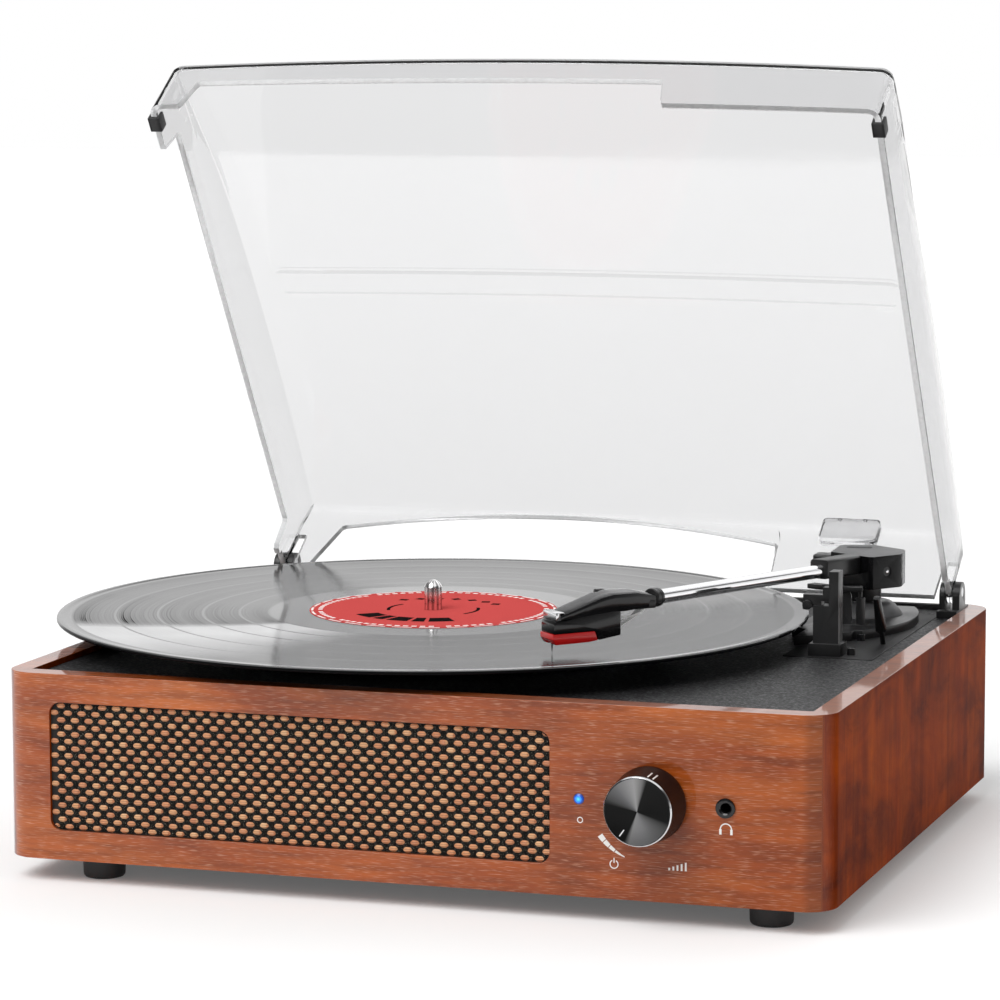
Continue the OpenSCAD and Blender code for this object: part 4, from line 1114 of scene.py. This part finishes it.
def arm_plate():
    """The foot of the tonearm, with the small stop disc and the lift's cylinder behind the rest."""
    plate_of = from_node("arm_plate", "arm_base", 0.5)
    for vertex in plate_of.data.vertices:
        spot = vertex.co * 1000 - ORIGIN_MM
        if 59.8 < spot.y < 61.6 and spot.z > 73.1 and spot.x > 117.2:
            spot.x = 116.3 + (spot.x - 117.3) * 0.51
            if spot.z > 81:
                spot.z = 84 + (spot.z - 81) * 0.5
            vertex.co = (spot + ORIGIN_MM) * 0.001
    place(plate_of, "base", satin, ["arm_base"], settle=False)
    post = from_node("arm_rest", "rest_post", 0.45)
    wide = max(vertex.co.x for vertex in post.data.vertices)
    for vertex in post.data.vertices:
        if vertex.co.x > wide - 0.0012 and vertex.co.z * 1000 - ORIGIN_MM.z > 88:
            vertex.co.x -= 0.0012
    place(post, "base", satin, ["rest_post"], settle=False)
    lift = turned("lift_cylinder", [(1.9, 73.0), (1.9, 83.8), (1.7, 84.0), (1.0, 84.0), (1.0, 73.0), (1.9, 73.0)], 40,
                  ring=True)
    place(moved(lift, LIFT_POST), "base", satin)
    bar = moved(ease(arc_plate("lift_bar", 29.5, 34, 240, 282, 86.7, 2.0), 0.3), at_arm())
    rod = moved(turned("lift_rod", [(0.02, 62), (0.75, 62), (0.75, 87.0), (0.02, 87.0)], 24), LIFT_POST)
    place(joined("lift_bar", [bar, rod]), "lifter", satin, ["lift_platform"])
    dish = turned("arm_cone", [(15.9, 72.9), (15.7, 73.4), (12.6, 77.0), (11.0, 78.2), (9.2, 78.6), (6.9, 78.3)], 96)
    place(moved(dish, at_arm()), "base", grey_satin)


arm_plate()


def arm_head():
    """The tonearm's housing: glossy sides, a grained top with a slot, and the block at its left."""
    head = from_node("arm_head", "arm_housing", 0.9, 3)
    coat(head, housing, grey_satin)
    for face in head.data.polygons:
        if face.normal.z > 0.8 and face.center.z > (ORIGIN_MM.z + 97) * 0.001:
            face.material_index = 1
    place(head, "tonearm", None, ["arm_housing"], settle=False)
    slot = block("head_slot", (-9, 13.0, 98.15), (1.5, 16.2, 98.42))
    bevel_edges(slot, 1.2, 3, lambda a, b: abs(a.z - b.z) > 0.1)
    place(moved(slot, at_arm(8)), "tonearm", rubber)
    back = ease(block("head_block", (-22.6, 1.5, 89.0), (-11.5, 10.0, 96.3)), 1.0, 3)
    place(moved(back, at_arm()), "tonearm", satin)
    bar = block("tube_bar", (-4.2, -36.6, -3.1), (4.2, -10.6, 4.7))
    bevel_edges(bar, 1.3, 3, lambda a, b: abs(a.y - b.y) > 1)
    ease(bar, 0.35, 2)
    place(moved(bar, ALONG), "tonearm", satin, ["tube_saddle"])
    pin = turned("pivot_pin", [(0.75, 13.0), (0.75, 13.25), (0.45, 13.4), (0.02, 13.4)], 24)
    place(moved(pin, at_arm(-33, 91.8) @ turn_by(90, "Y")), "tonearm", silver_edge)


arm_head()


def arm_tube():
    """The chromed tube, from the saddle to the collar."""
    tube = turned("chrome_tube", [(2.2, 30), (2.75, 30), (2.75, 155.6), (2.2, 155.6), (2.2, 30)], 64, ring=True)
    place(moved(tube, ALONG @ turn_by(90, "X")), "tonearm", chrome, ["arm_tube"])
    collar = turned("shell_collar", [
        (2.8, 155.2), (3.4, 155.2), (3.65, 155.5), (3.65, 157.0), (3.45, 157.2), (3.45, 157.5), (3.65, 157.7),
        (3.65, 159.4), (3.3, 159.8), (0.02, 159.8), (0.02, 155.7), (2.8, 155.2)], 64, ring=True)
    place(moved(collar, ALONG @ turn_by(90, "X")), "tonearm", satin)


arm_tube()


def numbered_sheet(name, columns, rows, falls):
    """A grid whose outline is drawn down a number of times. Each vertex's place is its column, row and fall."""
    piece = sheet_of(name, columns, rows)
    for vertex in piece.data.vertices:
        vertex.co = (round((vertex.co.x + 0.5) * columns), round((vertex.co.y + 0.5) * rows), 0)
    pick(piece, "FACE", lambda centre, normal: True)
    bpy.ops.mesh.region_to_loop()
    for _ in range(falls):
        bpy.ops.mesh.extrude_edges_move(TRANSFORM_OT_translate={"value": (0, 0, -1)})
    return done(piece)


def shell():
    """The headshell: a cap that slopes up from its front edge to a bend and narrows to the collar, with flanges."""
    rows_y = [0.9, 1.5, 6, 12, 18, 21.5, 23, 24.5, 28, 33, 36, 39, 42, 44.5]
    columns = 8
    cap_of = numbered_sheet("cartridge_shell", columns, len(rows_y) - 1, 2)

    def along(y, stops):
        for (y0, v0), (y1, v1) in zip(stops, stops[1:]):
            if y <= y1:
                return v0 + (v1 - v0) * max(0.0, (y - y0) / (y1 - y0))
        return stops[-1][1]

    for vertex in cap_of.data.vertices:
        side, y, row = vertex.co.x / (columns / 2) - 1, rows_y[round(vertex.co.y)], round(-vertex.co.z)
        half = along(y, [(0.9, 5.3), (6, 6.1), (22, 6.6), (30, 6.5), (36, 5.6), (44.5, 3.6)])
        top = along(y, [(0.9, 95.2), (1.5, 95.7), (12, 99.3), (18, 101.4), (23, 102.4), (33, 102.3), (39, 101.1),
                        (44.5, 99.8)])
        foot_of = along(y, [(0.9, 93.3), (23, 95.6), (26, 95.2), (34, 95.9), (44.5, 96.2)])
        across = side * half * (1.0 if row else 0.985)
        height = (top - 0.5 * side ** 6 + 0.15 * (1 - side * side), top - 0.9 - (top - foot_of) * 0.2, foot_of)[row]
        vertex.co = (across, y - (0.3 * (1 - side * side) if y < 2 else 0), height)
    face_out(cap_of)
    modify(cap_of, "SOLIDIFY", thickness=0.9, offset=-1.0, use_even_offset=True, thickness_clamp=0.0)
    ease(cap_of, 0.25, 2, 40)
    place(moved(cap_of, HEAD), "tonearm", gloss, ["headshell"], smooth=30)
    inner = ease(block("shell_core", (-5.0, 26, 95.4), (5.0, 41.5, 98.6)), 0.5)
    place(moved(inner, HEAD), "tonearm", satin)
    lift = ease(block("finger_lift", (-6.9, 20.6, 100.4), (-4.6, 24.6, 102.6)), 0.6, 3)
    place(moved(lift, HEAD), "tonearm", gloss)
    screws = []
    for y in (29.0, 37.0):
        screw = turned("shell_screw", [(0.02, 95.4), (1.1, 95.4), (1.2, 95.0), (1.2, 94.6), (0.02, 94.6)], 20)
        screws.append(moved(screw, shift(0, y, 0)))
    place(moved(joined("shell_screws", screws), HEAD), "tonearm", satin)


shell()


def wires():
    """Four short leads that loop from the cartridge's pins up into the shell."""
    leads = []
    for index, x in enumerate((-3.6, -1.2, 1.2, 3.6)):
        clear_selection()
        bpy.ops.curve.primitive_bezier_curve_add(location=(0, 0, 0))
        lead = bpy.context.object
        spline = lead.data.splines[0]
        spline.bezier_points.add(1)
        low_z = 87.8 + 1.7 * index
        points = [((x, 25.6, low_z), (x, 23.6, low_z), (x, 28.2, low_z - 0.2)),
                  ((x * 1.25, 32.5 + 0.8 * index, low_z + 1.2), (x * 1.25, 30.2, low_z - 0.6),
                   (x * 1.25, 34.8 + 0.6 * index, low_z + 2.8)),
                  ((x * 0.6, 38.4, 96.8), (x * 0.8, 38.2, 94.6), (x * 0.5, 38.6, 98.0))]
        for point, (co, left, right) in zip(spline.bezier_points, points):
            point.handle_left_type = point.handle_right_type = "FREE"
            point.co, point.handle_left, point.handle_right = co, left, right
        lead.data.bevel_depth = 0.33
        lead.data.bevel_resolution = 3
        lead.data.resolution_u = 10
        lead.data.use_fill_caps = True
        only(lead)
        bpy.ops.object.convert(target="MESH")
        leads.append(fresh(f"lead_{index}"))
    place(moved(joined("cartridge_leads", leads), HEAD), "tonearm", wire_white, ["cartridge_wires"])


wires()


def hook():
    """The rest's hook: two cheeks on the pin and a bar between their ends."""
    pieces = []
    for y in (3.4, 10.3):
        eye_of = turned("cheek_eye", [(0.02, 0), (1.7, 0), (1.9, 0.2), (1.9, 1.1), (1.7, 1.3), (0.02, 1.3)], 32)
        eye_of.data.transform(shift(116.6, y + 1.3, 89) @ turn_by(90, "X"))
        pieces.append(eye_of)
        pieces.append(ease(block("cheek", (115.2, y, 87.3), (116.6, y + 1.3, 88.2)), 0.25))
    pieces.append(ease(block("hook_bar", (114.8, 3.4, 87.2), (115.8, 11.6, 90.4)), 0.4))
    place(joined("arm_hook", pieces), "latch", satin, ["rest_latch"])


hook()


def feet():
    """Four turned rubber feet with a rounded tread and a recess for the screw."""
    low, high = node_mm("feet")
    radius = (high.x - low.x - (136 + 128)) / 2
    tall = high.z - low.z
    foot = turned("foot", [
        (3.6, 4.5), (3.6, 0.3), (3.9, 0.0), (radius - 1.7, 0.0), (radius - 0.9, 0.25), (radius - 0.35, 0.9),
        (radius - 0.2, 1.8), (radius - 0.1, tall - 3.2), (radius, tall - 2.9), (radius, tall - 0.3),
        (radius - 0.2, tall), (4.0, tall)], 64)
    copies = []
    for x in (low.x + radius, high.x - radius):
        for y in (low.y + radius, high.y - radius):
            copies.append(twin(foot, "foot_copy", shift(x, y, low.z)))
    bpy.data.objects.remove(foot)
    place(joined("rubber_feet", copies), "base", rubber, ["feet"])


feet()

# ---------------------------------------------------------------- lid

LID_HALF, LID_DEEP, LID_WALL = 149.64, 250, 2.4
LID_BACK, LID_FOOT = 120.88, 71.4    # where the closed lid's back lower edge lies, before it is opened
PANEL = 29.0                         # height of the walls' upright part
RIM = 3.0                            # radius between roof and walls
NOTCH = 15.6                         # height of the openings in the front and left walls
EAR_FOOT = 2.6                       # height of the walls' edge at the hinge ears
HINGE = Vector((0, 123.3, 79))
OPENED = Matrix.Translation(HINGE) @ turn_by(-56.41, "X") @ Matrix.Translation(-HINGE)
lid_lines_x = [-149.64, -148.94, -148.04, -146.94, -145.84, -144.64, -143.2, -142.8, -140, -137.9,
               *range(-137, -131), -130, -128.4, -127, -124, -120, -114, -106, *range(-98, 55, 8), 59.5, 60.5, 61.5,
               62.5, 63.5, 64.5, 65.5, 67.5, 69.6, 70.2, 70.8, 71.5, 74, *range(82, 115, 8), 120, 124, 127, 129,
               *range(131, 137), 138, 142.8, 143.2, 144.64, 145.84, 146.94, 148.04, 148.94, 149.64]
lid_lines_s = [0, 0.8, 1.8, 3.0, 4.4, 6, 8.8, 9.2, *range(12, 17), 18, 24, 32, *range(42, 103, 10), 110, 114,
               *range(116, 120), 121, 124, 126, 128, 131, *range(133, 137), 138, 142, *range(150, 211, 10), 218, 222,
               223.5, 224.5, 225.5, 226.5, 228, 232, 236, 240, 243, 245, 246.2, 247.3, 248.4, 249.3, 250]


def step(value, start, end):
    """0 before the start, 1 past the end, and a soft rise between."""
    share = min(1.0, max(0.0, (value - start) / (end - start)))
    return share * share * (3 - 2 * share)


def lid_crown(s):
    """Height of the roof's lowest line, s from the back edge."""
    if s < 150:
        return 44 - (s - 77) ** 2 / 2270
    if s < 200:
        return 41.65 - 0.0643 * (s - 150) - 0.00083 * (s - 150) ** 2
    return 36.36 - 0.147 * (s - 200)


def lid_top(x, s):
    """Height of the roof with its swell and its raised band with round ends."""
    across = 1 - (x / LID_HALF) ** 2
    swell = (1.4 + 1.2 * step(s, 20, 110) - 0.7 * step(s, 225, 250)) * across
    away = math.hypot(max(abs(x) - 133, 0), s - 126) - 8
    band = 0.75 * (1 - step(away, -1.4, 0.6))
    return lid_crown(s) + swell + band


def lid_edge(x, s, side):
    """Height of the walls' lower edge."""
    if side == "left":
        return max(EAR_FOOT * (s < 9), NOTCH * step(s, 12.5, 15.5) * (1 - step(s, 225, 228)))
    if side == "right":
        return EAR_FOOT * (s < 9)
    if side == "front":
        return NOTCH * step(x, -137, -133) * (1 - step(x, 60.5, 64.5))
    if 143.1 < abs(x) < 147.2:
        return 21.0
    arch = min(40 * (x + 137) / 12.5, 40 * (71.5 - x) / 2.5, 39 - (470 - math.sqrt(470 ** 2 - (x + 29) ** 2)))
    return max(arch, 0.0 if abs(x) < 143 else EAR_FOOT)


def lid_plan(x, s, inset):
    """A place on the lid's plan, with the front bowed, its corners rounded and the dome drawn in."""
    half = LID_HALF - inset
    bow = 2.8 * (x / LID_HALF) ** 2
    front = LID_DEEP - bow
    px = x * half / LID_HALF
    ps = s - 0.4 * (1 - min(s / 6, 1)) + inset * (1 - min(s / 20, 1)) * 0.9 - bow * step(s, 150, LID_DEEP)
    corner = 5.0
    dx, ds = abs(px) - (half - corner), ps - (front - corner)
    if dx > 0 and ds > 0:
        length = math.hypot(dx, ds)
        reach = max(dx, ds) / length
        px = math.copysign(half - corner + dx * reach, px)
        ps = front - corner + ds * reach
    return px, ps


def lid_place(x, s, h):
    """Where a place on the closed lid comes once it is open."""
    return OPENED @ Vector((x, LID_BACK - s, LID_FOOT + h))


def lid_shell():
    """The lid's clear shell: a roof of rows and columns, its walls, and the thickness of both."""
    nx, ns = len(lid_lines_x) - 1, len(lid_lines_s) - 1
    shell = numbered_sheet("clear_cover", nx, ns, 4)
    for vertex in shell.data.vertices:
        i, j, row = round(vertex.co.x), round(vertex.co.y), round(-vertex.co.z)
        x, s = lid_lines_x[i], lid_lines_s[ns - j]
        side = "left" if i == 0 else "right" if i == nx else "front" if j == 0 else "back"
        roof = lid_top(x, s)
        inset_top = 2.2 * min(1.0, max(0.0, (lid_crown(s) - PANEL) / 8))
        if row == 0:
            gap = min(LID_HALF - abs(x), s, LID_DEEP - s)
            drop = RIM - math.sqrt(max(RIM ** 2 - (RIM - min(gap, RIM)) ** 2, 0))
            inset = inset_top * (1 - 0.12 * min(drop / RIM, 1))
            px, ps = lid_plan(x, s, inset)
            vertex.co = lid_place(px, ps, roof - drop)
            continue
        low = lid_edge(x, s, side)
        if i in (0, nx) and j in (0, ns):
            low = lid_edge(x, s, "right") if j == 0 or i else lid_edge(x, s, "left")
        high = roof - RIM
        crease = min(PANEL, high - 0.4)
        if low > crease - 3:
            crease = low + (high - low) * 0.7
        height = (crease, low + (crease - low) * 0.66, low + min(1.2, (crease - low) * 0.33), low)[row - 1]
        inset = inset_top * 0.88 * max(0.0, height - PANEL) / max(lid_crown(s) - PANEL, 1)
        px, ps = lid_plan(x, s, inset)
        vertex.co = lid_place(px, ps, height)
    face_out(shell, merge=False)
    centre = lid_place(0, LID_DEEP / 2, 0)
    upper = [f for f in shell.data.polygons if f.area > 20]
    if sum((f.center - centre).dot(f.normal) * f.area for f in upper) < 0:
        face_back(shell)
    coat(shell, clear, frosted)
    # the rounded edge between the roof and the front wall is slightly frosted
    closed = OPENED.inverted()
    for face in shell.data.polygons:
        spot, slope = closed @ face.center, abs((closed.to_3x3() @ face.normal).z)
        if 0.12 < slope < 0.97 and spot.y < -122:
            face.material_index = 1
    modify(shell, "SOLIDIFY", thickness=LID_WALL, offset=-1.0, use_even_offset=True, use_rim=True,
           thickness_clamp=0.0, material_offset_rim=1)
    ease(shell, 0.3, 2, 50)
    place(shell, "cover", None, ["lid"], smooth=26)


lid_shell()


def lid_fittings():
    """The clear hinge ears, the small pocket inside the back wall, and the rubber clips."""
    pieces = []
    for side in (-1, 1):
        ear = turned("ear", [(2.06, 0), (4.7, 0), (5.0, 0.3), (5.0, LID_WALL - 0.3), (4.7, LID_WALL),
                             (2.06, LID_WALL), (2.06, 0)], 48, ring=True)
        left = LID_HALF - LID_WALL if side > 0 else -LID_HALF
        pieces.append(moved(ear, OPENED @ shift(left, HINGE.y, HINGE.z) @ turn_by(90, "Y")))
    pocket = block("pocket", (88, 113.6, 98.6), (113, 118.4, 112.0))
    bevel_edges(pocket, 2.0, 3, lambda a, b: abs(a.y - b.y) > 1)
    pieces.append(moved(ease(pocket, 0.7), OPENED))
    for x in (95, 106):
        pin = turned("pin", [(0.9, 0), (0.9, 1.6), (0.6, 2.0)], 20)
        pieces.append(moved(pin, OPENED @ shift(x, 115.5, 111.6)))
    place(joined("cover_fittings", pieces), "cover", clear)
    # the clips: two cheeks and a foot round the edge of each side wall
    clips = []
    for side in (-1, 1):
        for part, low_x, high_x, top in (("clip_side", 145.9, 147.15, 75.2), ("clip_side", 149.7, 150.95, 75.2),
                                         ("clip_foot", 146.0, 150.9, 71.35)):
            ends = sorted((side * low_x, side * high_x))
            clips.append(ease(block(part, (ends[0], LID_BACK - 241.5, 69.9), (ends[1], LID_BACK - 235.0, top)), 0.3))
    place(moved(joined("lid_clips", clips), OPENED), "cover", rubber, ["lid_bumpers"])


lid_fittings()

# ---------------------------------------------------------------- finishes of the nodes that stay, and the close

slot_of = {part["node"]: part["material_slot"] for part in frame["record"]["subparts"]}
for name, node in cad.items():
    coat(node, FINISH[slot_of[name]])
for name, finish in (("grille_board", fibreboard), ("spindle", striped_pin()), ("arm_counterweight", weight_metal),
                     ("arm_pivot_screws", satin)):
    coat(cad[name], finish)

bpy.context.scene.view_settings.view_transform = "Standard"
